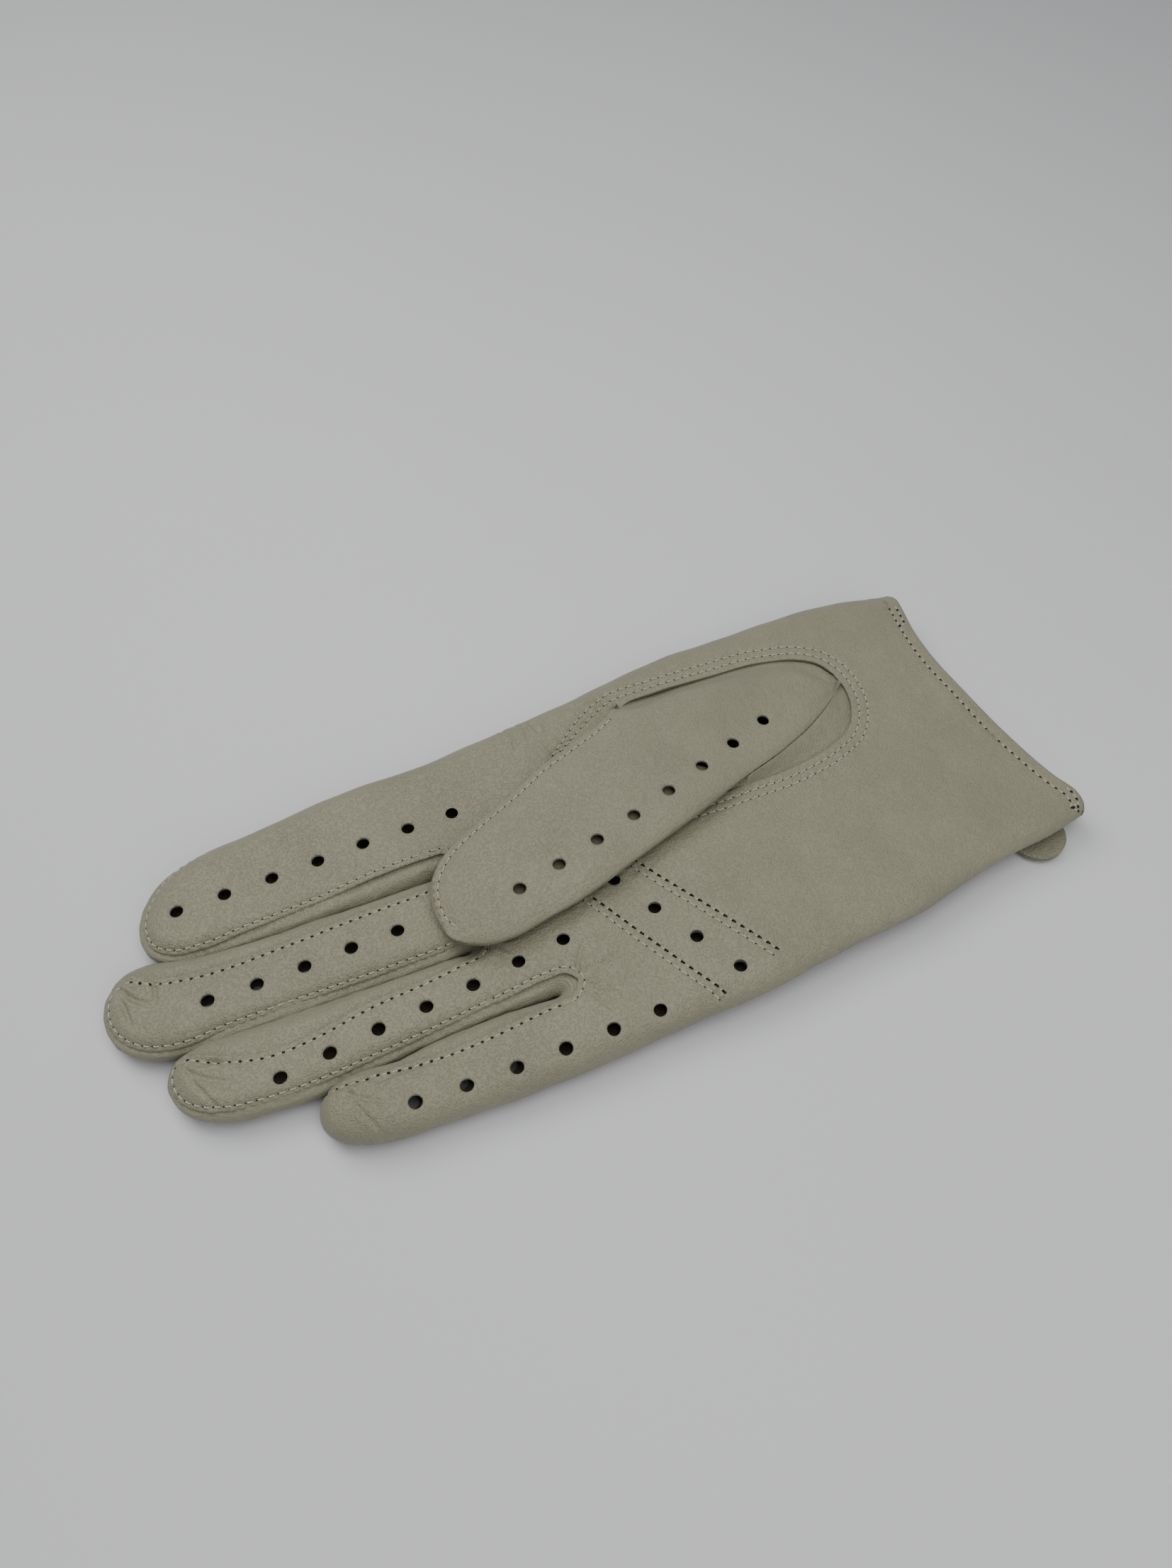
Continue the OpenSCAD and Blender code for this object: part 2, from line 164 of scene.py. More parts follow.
class Line:
    """A polyline that can say how far points are from it. Its left side is positive."""

    def __init__(self, points, step=0.3):
        self.p = resample(np.array(points, float), step)
        self.s = along(self.p)
        steps = np.diff(self.p, axis=0)
        self.length = np.linalg.norm(steps, axis=1)
        self.run = steps / self.length[:, None]
        turn = unit(np.vstack([self.run[:1], self.run[1:] + self.run[:-1], self.run[-1:]]))
        self.left = np.stack([-turn[:, 1], turn[:, 0]], 1)
        self.tree = tree(self.p)

    def foot(self, q):
        """Signed distance, unit vector to the left, and distance along, for each point."""
        q = np.asarray(q, float)
        i = np.array([self.tree.find((x, y, 0))[1] for x, y in q], int)
        best = np.full(len(q), np.inf)
        dist, left, where = np.empty(len(q)), np.empty((len(q), 2)), np.empty(len(q))
        for j in np.clip((i - 1, i), 0, len(self.length) - 1):
            t = np.clip(((q - self.p[j]) * self.run[j]).sum(1) / self.length[j], 0, 1)
            off = q - self.p[j] - (t * self.length[j])[:, None] * self.run[j]
            away = np.linalg.norm(off, axis=1)
            n = unit(self.left[j] * (1 - t)[:, None] + self.left[j + 1] * t[:, None])
            closer = away < best
            side = np.where((off * n).sum(1) < 0, -1, 1)
            dist = np.where(closer, side * away, dist)
            left = np.where(closer[:, None], n, left)
            where = np.where(closer, self.s[j] + t * self.length[j], where)
            best = np.minimum(best, away)
        return dist, left, where

    def at(self, s):
        """Points at distances along the line, and the unit vectors to its left there."""
        return interpolate(s, self.s, self.p), unit(interpolate(s, self.s, self.left))

    def near(self, point):
        """Distance along, at the place nearest to one point."""
        return self.foot([point])[2][0]


def tree(points):
    """The points, ready to be searched for the nearest one."""
    kd = KDTree(len(points))
    for i, p in enumerate(points):
        kd.insert((p[0], p[1], 0), i)
    kd.balance()
    return kd


def offset(p, d, taper=0.0):
    """The polyline p, moved to its left by d, or by less over its first part, as long as the taper."""
    line = Line(p, EDGE)
    return line.p + d * line.left * ramp(line.s, -0.6 * taper, taper + 0.01)[:, None]


def inside(q, ring):
    """Which points lie inside a closed outline."""
    a, b = ring, np.roll(ring, -1, axis=0)
    found = np.zeros(len(q), bool)
    slope = (b[:, 0] - a[:, 0]) / np.where(b[:, 1] == a[:, 1], 1e-12, b[:, 1] - a[:, 1])
    for i in range(0, len(q), 5000):
        x, y = q[i:i + 5000, 0][:, None], q[i:i + 5000, 1][:, None]
        crosses = ((a[:, 1] > y) != (b[:, 1] > y)) & (x < slope * (y - a[:, 1]) + a[:, 0])
        found[i:i + 5000] = crosses.sum(1) % 2 == 1
    return found


def away_from(q, kd):
    """Distance of each point from the nearest one in a tree."""
    return np.array([kd.find((x, y, 0))[2] for x, y in q])


def uneven(xy, size, seed):
    """Smooth unevenness between about -1 and 1, with bumps about as wide as size."""
    r = np.random.default_rng(seed)
    total = np.zeros(len(xy))
    for _ in range(7):
        a, phase = r.uniform(0, 2 * math.pi, 2)
        k = 2 * math.pi / (size * r.uniform(1.3, 3.2))
        total += np.sin(k * (xy[:, 0] * math.cos(a) + xy[:, 1] * math.sin(a)) + phase)
    return total / 3


# ---------------------------------------------------------------- outlines

# The silhouette at half height runs from behind the cuff on the index side, round
# every finger, and back on the little side, with the glove on its left.
INDEX_SIDE = [(-40, -42.5), (-10, -43.8), (8, -45), (20, -46.8), (40, -48), (70, -46.8), (93, -44.6),
              (112, -41.6), (133, -38.6), (155, -36.8), (180, -34.8), (201, -32.2), (215, -29.2)]
INDEX_END = [(222.5, -25.4), (227.2, -20), (229.3, -13.5), (227.8, -7.2), (222.5, -3.4),
             (214, -2.4), (190, -2.2), (172, -2.3), (160, -2.6)]
MIDDLE_AROUND = [(156.2, -2.9), (155.6, -2.2), (156.3, -1.6), (160, -1.8), (172, -1.7), (190, -1.6),
                 (212, -1.9), (223, -3.3), (230, -4.9), (236, -3.4), (239.8, 0.8), (240.9, 6.2), (239.2, 12),
                 (234.6, 16.8), (228, 19.2), (214, 19.6), (190, 19.6), (172, 19.4), (161, 19.3)]
RING_AROUND = [(157.6, 19.4), (156.9, 19.8), (157.6, 20.2), (161, 20.3), (172, 20.3), (190, 20.2),
               (213, 20.1), (223, 20.2), (228, 22.4), (230, 27), (228.6, 32.2), (224.6, 36.2), (219, 38.6),
               (211, 39.8), (200, 40.2), (188, 39.2), (171, 37.8), (155, 37.3), (145, 37.5)]
LITTLE_AROUND = [(142, 37.6), (141, 38.1), (142, 38.5), (145, 38.5), (155, 38.2), (171, 38.7), (182, 40),
                 (190, 39.6), (196, 40.4), (199.8, 43.6), (200.4, 48), (197.8, 52.2), (192.2, 55)]
LITTLE_SIDE = [(184, 56.5), (171, 57.4), (138, 57), (113, 56), (88, 54.3), (58, 51), (28, 45.4), (8, 42.2),
               (-10, 39.6), (-40, 36.5)]
silhouette = Line(smooth(INDEX_SIDE + INDEX_END + MIDDLE_AROUND + RING_AROUND + LITTLE_AROUND + LITTLE_SIDE))

# Cut edge of the palm leather, the same way round, from the side of the index finger
# round its tip, through every crotch and over every fingertip to the little finger's
INDEX_CUT = [(212, -30), (216.4, -28.2), (222.2, -25.1), (226.8, -20), (228.9, -13.6), (227.4, -7.6),
             (222.8, -4.3), (216, -3.4), (205, -3.7), (188, -4.6), (171, -6.2), (160, -6.6)]
MIDDLE_CUT = [(155.4, -6.4), (152.4, -2.6), (155, 0.6), (160, 1), (171, 1.6), (188, 2.6), (204, 3.2),
              (218, 3.2), (228, 1.2), (234.6, -1.8), (238.4, -0.4), (240.4, 6), (238.8, 11.8),
              (234.3, 16.4), (228, 18.7), (214, 18.9), (190, 18.8), (172, 18.6), (160, 18.3)]
RING_CUT = [(156, 18), (153.7, 20), (155.4, 21.8), (160, 22.5), (170, 24.2), (182, 25.6), (196, 27.9),
            (210, 28), (219, 25.2), (225.2, 22.6), (228.2, 23.6), (229.5, 27.4), (228.2, 32), (224.3, 35.7),
            (218.7, 38), (211, 39.2), (200, 39.5), (188, 38.5), (171, 37), (160, 36.1), (150, 35.3),
            (143.6, 34.8)]
LITTLE_CUT = [(138.6, 35.4), (136.8, 38), (138.6, 40.6), (145, 41.2), (155, 42), (171, 42.7), (184, 42),
              (192, 41.2), (197.4, 41.3)]
PANEL_CUT = smooth(INDEX_CUT + MIDDLE_CUT + RING_CUT + LITTLE_CUT)
S_CROTCH = [silhouette.near(p) for p in ((155.6, -2.2), (156.9, 19.8), (141, 38.1))]
FINGER_ENDS = [0, *S_CROTCH, silhouette.s[-1]]


def cut_index(place):
    """Which point of the cut edge is nearest to a place."""
    return int(np.linalg.norm(PANEL_CUT - place, axis=1).argmin())


CROTCH_CUTS = [cut_index(place) for place in ((152.4, -2.6), (153.7, 20), (136.8, 38))]
CUT_ENDS = [0, *CROTCH_CUTS, len(PANEL_CUT)]

# The silhouette of each finger alone, from crotch to crotch
LINES = {}
for name, start, end in zip(FINGERS, FINGER_ENDS, FINGER_ENDS[1:]):
    LINES[name] = Line(silhouette.at(np.linspace(start, end, int((end - start) / 0.3)))[0])

CUFF_START = [(-0.6, 41), (-2, 38.6)]
CUFF_END = [(8.4, -30), (7.2, -38), (6.8, -42), (7.4, -44.9)]
CUFF_PALM = smooth([*CUFF_START, (-2.2, 35), (0.3, 28.5), (4.4, 12), (7, -5), (8.6, -19), *CUFF_END])
CUFF_BACK = smooth([*CUFF_START, (-2.6, 35), (-1.4, 28.5), (3.2, 12), (6.4, -5), (8.4, -19), *CUFF_END])
HOLE_PALM_SIDE = [(37.8, -22.6), (37.4, -16), (39.2, -9.8), (43.2, -4), (49.5, -0.6), (60.5, 2), (74.5, 2.8),
                  (88, 3), (99, 1.4), (106, -4.6), (108, -13), (104, -22.4)]
HOLE_INDEX_SIDE = [(104, -22.4), (100.4, -29.6), (95.5, -33.2), (87.5, -33.8), (70.5, -33.8), (54.5, -33.2),
                   (45.4, -30.8), (40, -27), (37.8, -22.6)]
THUMB_HOLE = np.vstack([smooth(HOLE_PALM_SIDE)[:-1], smooth(HOLE_INDEX_SIDE)[:-1]])[::-1]

# Thumb, from its seam at the oval, round the tip, and back along its folded side
THUMB_SEAM = [(99, -33), (103, -28.6), (115, -23), (126, -18.6), (135, -13.8), (146, -8.6), (156, -3),
              (161.6, 4), (163, 11), (161, 18)]
THUMB_FOLD = [(155.6, 22.8), (148.4, 24.2), (138, 22.8), (113, 15.6), (88, 6.2), (63, -2.8), (48, -10.6),
              (37.6, -18.4), (33, -22)]
thumb_line = Line(smooth(THUMB_SEAM + THUMB_FOLD))
# Places along it: the ends of the seam, where the seam turns into the fold, and the fold's end at the oval
S_THUMB_SEAM = thumb_line.near((101, -31)), thumb_line.near((161, 18))
S_THUMB_TURN = thumb_line.near((162.6, 14)), thumb_line.near((156, 22.6))
S_THUMB_END = thumb_line.near((37, -18.8))
THUMB_ROOT = (38, -18)     # where the puckers at the thumb's root spread from
MIDDLE_DENT = (229, 4.5)   # a dent below the tip of the middle finger

VENTS = {
    "index": row((149.8, -17.3), (11.72, 0.46), 7),
    "middle": row((172, 10), (11.42, 0.3), 5, 0.4),
    "ring": row((136.3, 27), (11.67, 1.4), 7),
    "little": row((122, 51.8), (11.62, 0), 6, 0.7),
    "band": row((100.4, 48.6), (6.2, -10.8), 5),
    "thumb": row((64.4, -12.9), (11.1, 3.77), 8, 2.0),
}
BACK_VENTS = {
    "index": row((173, -17.6), (11.75, 0.5), 5),
    "middle": row((172, 8.6), (11.75, 0.1), 5),
    "ring": row((171.4, 31), (11.75, 1.1), 4),
    "little": row((157.4, 48.2), (11.75, 0), 3),
}
KNUCKLES = [(118, -21), (120, 3), (117, 24), (110, 43)]
VENT_END, VENT_END_R, VENT_HALF = 42.0, 8.5, 4.5
BAND_ROWS = [((91.2, 48.8), (114.2, 11.6)), ((107.2, 53.8), (128.8, 15.8))]

# ---------------------------------------------------------------- the hand's surface

STATIONS = [-40, 10, 55, 90, 125, 160, 200, 242]
TOP = [10.2, 10.4, 11.0, 11.2, 11.0, 10.3, 10.1, 9.2]
BOTTOM = [5, 5, 5, 3.9, 0.8, 0.35, 0.35, 0.9]


def crease(*points):
    """The line of a crease through a few points."""
    return Line(smooth(points, 0.6), 0.6)


def fan(centre, first, last, count, length):
    """Creases that spread from one place, between two directions in degrees."""
    out = []
    for k in range(count):
        a = math.radians(first + (last - first) * k / (count - 1))
        bend = 0.3 * math.sin(2.3 * k)
        reach = length * (0.75 + 0.35 * math.sin(1.7 * k + 1))
        path = []
        for f, turn in ((0.1, 0), (0.5, bend * 0.3), (1.0, bend)):
            x = centre[0] + reach * f * math.cos(a + turn)
            path.append((x, centre[1] + reach * f * math.sin(a + turn)))
        out.append(crease(*path))
    return out


# Creases pressed into the palm side, with their depth and width
CREASES = [
    (0.66, 0.55, [*fan((237, -0.8), 100, 200, 7, 12), crease((229.5, -0.4), (228.6, 3), (229, 8))]),
    (0.42, 0.5, [
        *fan((227.6, 23.6), 118, 182, 7, 17),
        *fan((195.6, 42), 118, 180, 6, 15),
        crease((199, 45), (190.5, 45.2), (180, 44.2), (170, 45.4)),
    ]),
    (0.34, 0.5, [
        *fan((137.4, 38), 118, 245, 8, 12),
        *fan((153.4, 20), 130, 235, 6, 9),
        crease((129.6, -38.6), (127.6, -34), (128.6, -29)),
        crease((126, -39), (123.8, -34.6), (124.4, -30)),
        crease((123, -38), (121.4, -35.4), (120.6, -32)),
        crease((112, -37.6), (104.6, -36.6), (98.6, -37.2)),
    ]),
]
beside_thumb = [(119.5, -22.6), (112, -26.4), (104, -31), (99, -33.3)]
hole_seams = [Line(offset(smooth(beside_thumb + HOLE_INDEX_SIDE[3:] + HOLE_PALM_SIDE[1:-1]), d, 16))
              for d in (2.1, 4.4)]
cuff_seams = {1: Line(offset(CUFF_PALM, 3.6)), -1: Line(offset(CUFF_BACK, 2.6))}
knuckle_rims = [Line(ellipse(c, 7, 9.5)) for c in KNUCKLES]
band_seams = []
for ends in BAND_ROWS:
    double = Line(np.array(ends), EDGE)
    band_seams += [Line(double.p + d * double.left) for d in (-1.0, 1.0)]


def local(xy, line, reach):
    """Which points are in the box round a line."""
    lo, hi = line.p.min(0) - reach, line.p.max(0) + reach
    return np.flatnonzero(((xy > lo) & (xy < hi)).all(1))


def crease_relief(xy):
    """Valleys along the creases, with a low ridge on both sides."""
    out = np.zeros(len(xy))
    for depth, width, lines in CREASES:
        for line in lines:
            near = local(xy, line, 4)
            if not len(near):
                continue
            d, _, s = line.foot(xy[near])
            gone = np.linalg.norm(xy[near] - line.at(s)[0], axis=1) ** 2 - d**2
            fade = np.sin(math.pi * np.clip(s / line.s[-1], 0, 1)) ** 0.6 * np.exp(-np.abs(gone))
            ridge = bell(np.abs(d) - 2.2 * width, 1.3 * width)
            out[near] += depth * fade * (0.45 * ridge - bell(d, width))
    return out


def seam_relief(xy, line, inner, outer):
    """A groove along a row of stitches, with puckers on the side of the cut edge and beyond."""
    out = np.zeros(len(xy))
    near = local(xy, line, 5)
    if len(near):
        d, _, s = line.foot(xy[near])
        wave = np.cos(2 * math.pi * s / STITCH) * (1 + 0.35 * np.sin(0.31 * s) + 0.25 * np.sin(0.83 * s + 1))
        ladder = np.cos(math.pi * s / STITCH + 1.2 * np.sin(0.19 * s)) * (0.6 + 0.4 * np.sin(0.13 * s + 2))
        puckers = inner * wave * bell(d + 0.9, 0.6)
        puckers += outer * (wave * bell(d - 0.9, 0.7) + ladder * bell(d - 2.4, 1.3))
        out[near] = 0.1 * (puckers + bell(d - 2.2, 1.0)) - 0.26 * bell(d, 0.42)
    return out


def dimples(xy, centres):
    """How far the leather sinks in round punched holes."""
    out = np.zeros(len(xy))
    for c in centres:
        out += 0.2 * bell(np.maximum(np.hypot(*(xy - c).T) - VENT_R, 0), 0.5)
    return out


def rolled(d):
    """How far in from the silhouette flat leather comes to lie, and the angle through which it curves."""
    turn = np.clip((ROLL - d) / ROLL, 0, 2)
    return np.where(d < ROLL, ROLL * (1 - np.sin(turn)), d), turn


def unrolled(d):
    """The distance on the flat leather of a point that lies d in from the silhouette."""
    return np.where(d < ROLL, ROLL * (1 - np.arcsin(np.clip(1 - d / ROLL, -1, 1))), d)


class Surface:
    """Leather that curves down at its silhouette, on the palm side (+1) or the back (-1)."""

    whole = silhouette

    def __init__(self, side, line):
        self.side = side
        self.line = line

    def folded(self, s):
        """1 where the leather folds round the edge, and 0 where it ends there in a seam."""
        return np.ones_like(s)

    def flat(self, xy):
        """The place in the flat leather of points seen from above."""
        xy = np.asarray(xy, float)
        d, inward, s = self.line.foot(xy)
        return xy + inward * (self.folded(s) * (unrolled(d) - d))[:, None]

    def rim(self, s0, s1):
        """Flat leather that comes to lie on the silhouette, from s0 to s1 along it."""
        s = np.linspace(s0, s1, max(3, int(abs(s1 - s0) / EDGE)))
        p, n = self.whole.at(s)
        return p + n * (self.folded(s) * QUARTER)[:, None]


class Hand(Surface):
    """The hand, or one of its fingers by name."""

    def __init__(self, side, name=None):
        super().__init__(side, LINES.get(name, silhouette))
        self.name = name

    def place(self, q):
        """Where points of the flat leather come to lie."""
        d, inward, _ = self.line.foot(q)
        return self.fold(q - inward * d[:, None], inward, d)

    def fold(self, rim, inward, d, lower=0.0):
        """Leather at distance d on the flat from the rim, laid on the hand or lower by some amount."""
        real, turn = rolled(d)
        xy = rim + inward * real[:, None]
        top, bottom = profile(xy[:, 0], STATIONS, TOP), profile(xy[:, 0], STATIONS, BOTTOM)
        half = (top - bottom) / 2 - lower
        return np.c_[xy, (top + bottom) / 2 + self.side * half * np.cos(turn)]

    def relief(self, q, p):
        """How far the leather stands proud of its plain shape."""
        xy = p[:, :2]
        out = 0.33 * uneven(xy, 17, 3) + 0.09 * uneven(xy, 6, 4)
        out += seam_relief(q, SEAMS.get(self.name, panel_seam), 1.4, 1.1)
        out += seam_relief(xy, cuff_seams[self.side], 0.8, 0.8)
        if self.side > 0:
            out += crease_relief(xy)
            out -= 0.5 * bell(np.hypot(*(xy - MIDDLE_DENT).T), 5)
            for line in (*hole_seams, *band_seams):
                out += seam_relief(xy, line, 1.0, 0.9)
            vents = [VENTS[name] for name in (*FINGERS, "band")]
        else:
            for line in knuckle_rims:
                out += seam_relief(xy, line, 0.3, 0.3)
            vents = list(BACK_VENTS.values())
        return out - dimples(xy, np.vstack(vents))


# The cut edge on the flat leather, where each finger goes by its own silhouette
panel_flat = np.vstack([
    Hand(1, name).flat(PANEL_CUT[a:b]) for name, a, b in zip(FINGERS, CUT_ENDS, CUT_ENDS[1:])
])
panel_seam = Line(offset(panel_flat, SEAM_IN))
SEAMS = {}
marks = [panel_seam.tree.find((*panel_flat[k], 0))[1] for k in CROTCH_CUTS]
for name, i, j in zip(FINGERS, [0, *marks], [*marks, len(panel_seam.p) - 1]):
    SEAMS[name] = Line(panel_seam.p[i:j + 1])
    SEAMS[name].s += panel_seam.s[i]


class Thumb(Surface):
    """Front (+1) or back (-1) of the thumb, folded over the palm."""

    whole = thumb_line
    opening = Line(smooth([(33, -6), (35.6, -15), *HOLE_INDEX_SIDE[::-1][:-2], (97.4, -34.2), (104, -36.4),
                           (112, -40)]))

    def __init__(self, side):
        super().__init__(side, thumb_line)

    def heights(self, x):
        """The top of the front and the bottom of the back."""
        bottom = profile(x, [30, 45, 70, 95, 165], [9.7, 10.4, 11.9, 12.6, 12.4])
        top = profile(x, [30, 45, 70, 95, 130, 165], [10.4, 11.8, 14.9, 16.6, 16.9, 16.0])
        return top, bottom

    def folded(self, s):
        """0 where the edge is a seam and 1 where it is a fold."""
        return ramp(s, *S_THUMB_TURN)

    def place(self, q):
        """Where points of the flat leather come to lie."""
        d, inward, s = self.line.foot(q)
        rim = q - inward * d[:, None]
        fold = self.folded(s)
        real, turn = rolled(d)
        xy = rim + inward * (fold * real + (1 - fold) * d)[:, None]
        top, bottom = self.heights(xy[:, 0])
        seam = 0.22 + 0.78 * np.sin(np.clip(d / (ROLL + 1.5), 0, 1) * math.pi / 2)
        swell = fold * np.cos(turn) + (1 - fold) * seam
        z = (top + bottom) / 2 + self.side * (top - bottom) / 2 * swell
        # At the oval the leather starts just below the palm's, and it rises from there
        out = self.opening.foot(xy)[0]
        under = profile(xy[:, 0], STATIONS, TOP) - 1.25 + 1.7 * ramp(xy[:, 0], 90, 102)
        # The back lies lower still, and only where it comes out at the oval's far end
        if self.side < 0:
            under = under - 0.25
            out = out + 20 * (1 - ramp(xy[:, 0], 97.5, 101))
        z = under + (z - under) * ramp(out, -0.2, 8)
        return np.c_[xy, z]

    def relief(self, q, p):
        """How far the leather stands proud of its plain shape."""
        xy = p[:, :2]
        d, _, s = self.line.foot(q)
        fold = self.folded(s)
        wave = np.cos(2 * math.pi * s / STITCH)
        out = 0.27 * uneven(xy, 17, 8) + 0.08 * uneven(xy, 6, 9)
        seamed = 1 - fold
        out += seamed * (0.16 * wave * bell(d - 0.9, 0.6) - 0.2 * bell(d - THUMB_SEAM_IN, 0.4))
        if self.side > 0:
            out += 0.3 * seamed * bell(d - 4.6, 1.2) * ramp(xy[:, 0], 140, 152)
            out -= 0.35 * seamed * bell(d - 6.6, 0.7) * ramp(xy[:, 0], 142, 152)
            x, y = (xy - THUMB_ROOT).T
            out += 0.3 * np.sin(9 * np.arctan2(y, x)) * bell(np.hypot(x, y) - 8, 6)
            out -= dimples(xy, VENTS["thumb"])
        return out


# ---------------------------------------------------------------- materials

class Material:
    """A node material on the standard shader, with short ways to add nodes to it."""

    def __init__(self, name):
        self.data = bpy.data.materials.new(name)
        self.data.use_nodes = True
        self.nodes = self.data.node_tree.nodes

    def add(self, kind, **values):
        node = self.nodes.new("ShaderNode" + kind)
        for key, value in values.items():
            if key in node.inputs:
                node.inputs[key].default_value = value
            else:
                setattr(node, key, value)
        return node

    def put(self, value, socket):
        """Set a socket to a constant, or join a node's output to it."""
        if isinstance(value, (tuple, float)):
            socket.default_value = value
        else:
            self.data.node_tree.links.new(value, socket)

    def finish(self, values):
        """Fill in the shader's sockets, and give the material."""
        for key, value in values.items():
            self.put(value, self.nodes["Principled BSDF"].inputs[key])
        return self.data

    def grain(self):
        """Coordinates in millimetres on the flat leather."""
        return self.add("UVMap", uv_map="grain").outputs["UV"]

    def noise(self, vector, scale, detail=3.0, rough=0.5):
        node = self.add("TexNoise", Scale=scale, Detail=detail, Roughness=rough)
        self.put(vector, node.inputs["Vector"])
        return node.outputs["Fac"]

    def spread(self, value, low, high, a=0.0, b=1.0):
        node = self.add("MapRange", **{"From Min": low, "From Max": high, "To Min": a, "To Max": b})
        self.put(value, node.inputs["Value"])
        return node.outputs["Result"]

    def mix(self, fac, a, b, blend="MIX"):
        node = self.add("Mix", data_type="RGBA", blend_type=blend)
        for value, place in ((fac, 0), (a, 6), (b, 7)):
            self.put(value, node.inputs[place])
        return node.outputs[2]

    def bump(self, height, strength, distance, normal=None):
        node = self.add("Bump", Strength=strength, Distance=distance)
        self.put(height, node.inputs["Height"])
        if normal is not None:
            self.put(normal, node.inputs["Normal"])
        return node.outputs["Normal"]


def shade(color, factor):
    """A colour made darker or lighter, with its alpha."""
    return (*(c * factor for c in color), 1.0)


def nappa(name, color, pore=1.0, rough=0.46):
    """Soft smooth leather with fine grain, small pores, faint mottling and creasing."""
    w = Material(name)
    at = w.grain()
    cloud = w.noise(at, 0.05, 4.0, 0.6)
    blotch = w.noise(at, 0.55, 5.0, 0.65)
    cells = w.add("TexVoronoi", feature="SMOOTH_F1", Scale=2.0, Smoothness=0.3)
    wander = w.mix(0.18, at, w.add("TexNoise", Scale=0.7).outputs["Color"], "ADD")
    w.put(wander, cells.inputs["Vector"])
    pebble = w.spread(cells.outputs["Distance"], 0.55, 0.05)
    fine = w.noise(at, 2.6, 6.0, 0.7)
    base = w.mix(w.spread(cloud, 0.35, 0.65), shade(color, 0.93), shade(color, 1.06))
    base = w.mix(w.spread(blotch, 0.4, 0.75, 0.0, 0.25), base, shade(color, 0.84))
    base = w.mix(w.spread(pebble, 0.0, 0.6, 0.08 * pore, 0.0), base, shade(color, 0.55))
    normal = w.bump(pebble, 0.5 * pore, 0.0005)
    normal = w.bump(fine, 0.45, 0.0002, normal)
    normal = w.bump(w.noise(at, 0.3, 3.0, 0.55), 0.36, 0.0013, normal)
    return w.finish({
        "Base Color": base, "Normal": normal,
        "Roughness": w.spread(fine, 0.3, 0.7, rough + 0.1, rough - 0.07),
        "Specular IOR Level": 0.42, "Sheen Weight": 0.12, "Sheen Roughness": 0.5,
    })


def flesh(name, color, sheen=0.25):
    """The rough flesh side and cut edges of leather, in the caller's colour, which here also paints shade:
    dark along cut edges and near-black in needle holes.
    """
    w = Material(name)
    fibre = w.noise(w.grain(), 1.6, 6.0, 0.75)
    return w.finish({
        "Base Color": w.mix(w.spread(fibre, 0.3, 0.7), shade(color, 0.75), shade(color, 1.15)),
        "Normal": w.bump(fibre, 0.7, 0.0005),
        "Roughness": 0.9, "Specular IOR Level": 0.2, "Sheen Weight": sheen,
    })


def cotton(name, color):
    """Twisted sewing thread."""
    w = Material(name)
    wave = w.add("TexWave", wave_type="BANDS", bands_direction="DIAGONAL", Scale=0.9)
    w.put(w.grain(), wave.inputs["Vector"])
    twist = wave.outputs["Fac"]
    return w.finish({
        "Base Color": w.mix(w.spread(twist, 0.1, 0.9), shade(color, 0.8), shade(color, 1.1)),
        "Normal": w.bump(twist, 0.4, 0.00012),
        "Roughness": 0.6, "Sheen Weight": 0.2,
    })


def nickel(name, color):
    """Satin metal, turned, with faint handling marks."""
    w = Material(name)
    at = w.add("TexCoord").outputs["Object"]
    smudge = w.noise(at, 160.0, 3.0, 0.5)
    return w.finish({
        "Base Color": w.mix(w.spread(smudge, 0.3, 0.7), shade(color, 0.9), shade(color, 1.05)),
        "Roughness": w.spread(smudge, 0.3, 0.7, 0.24, 0.36),
        "Normal": w.bump(w.noise(at, 900.0, 4.0, 0.6), 0.15, 0.00003),
        "Metallic": 1.0,
    })


SHELL = (0.243, 0.233, 0.159)
shell = nappa("nappa_shell", SHELL)
gusset_leather = nappa("nappa_gusset", tuple(c * 0.98 for c in SHELL), 1.1, 0.5)
binding = nappa("nappa_binding", tuple(c * 0.9 for c in SHELL), 0.7, 0.5)
# Flesh side and cut edges: partly the flesh's own tone, partly painted shade, kept dark so cut edges show the
# shadow line along them
flesh_and_edge_shade = flesh("leather_flesh_edge_shade", (0.20, 0.185, 0.125))
thread = cotton("thread", (0.47, 0.455, 0.36))
# Near-black and without sheen: painted shade for the dark inside of the needle holes
hole_shade = flesh("painted_needle_shade", (0.032, 0.03, 0.024), 0.0)
metal = nickel("satin_nickel", (0.62, 0.60, 0.56))


# ---------------------------------------------------------------- pieces

def add_object(name, data):
    """A new object in the scene."""
    obj = bpy.data.objects.new(name, data)
    bpy.context.scene.collection.objects.link(obj)
    return obj


def to_row(p):
    """The glove's millimetres turned into the frame's metres."""
    return (np.asarray(p, float) + SHIFT) / 1000


def piece(name, body, verts, faces, uv, material_of, materials, slot="shell_leather"):
    """One finished mesh, riding on a body, or baked in place if its body is one that bends, and standing for
    the CAD node of the same name, if there is one.
    """
    verts = np.asarray(verts, float)
    verts[:, 2] = np.maximum(verts[:, 2], FLOOR_GAP)
    mesh = bpy.data.meshes.new(name)
    mesh.from_pydata(to_row(verts).tolist(), [], faces)
    for m in materials:
        mesh.materials.append(m)
    mesh.polygons.foreach_set("material_index", np.asarray(material_of, dtype=np.int32))
    mesh.polygons.foreach_set("use_smooth", np.ones(len(mesh.polygons), dtype=bool))
    corner = np.empty(len(mesh.loops), dtype=np.int32)
    mesh.loops.foreach_get("vertex_index", corner)
    layer = mesh.uv_layers.new(name="grain")
    layer.data.foreach_set("uv", np.asarray(uv, float)[corner].ravel())
    obj = add_object(name, mesh)
    if body in BLENDS:
        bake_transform(obj)
    else:
        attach(obj, body)
    if name in frame["nodes"]:
        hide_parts(name)
    return obj


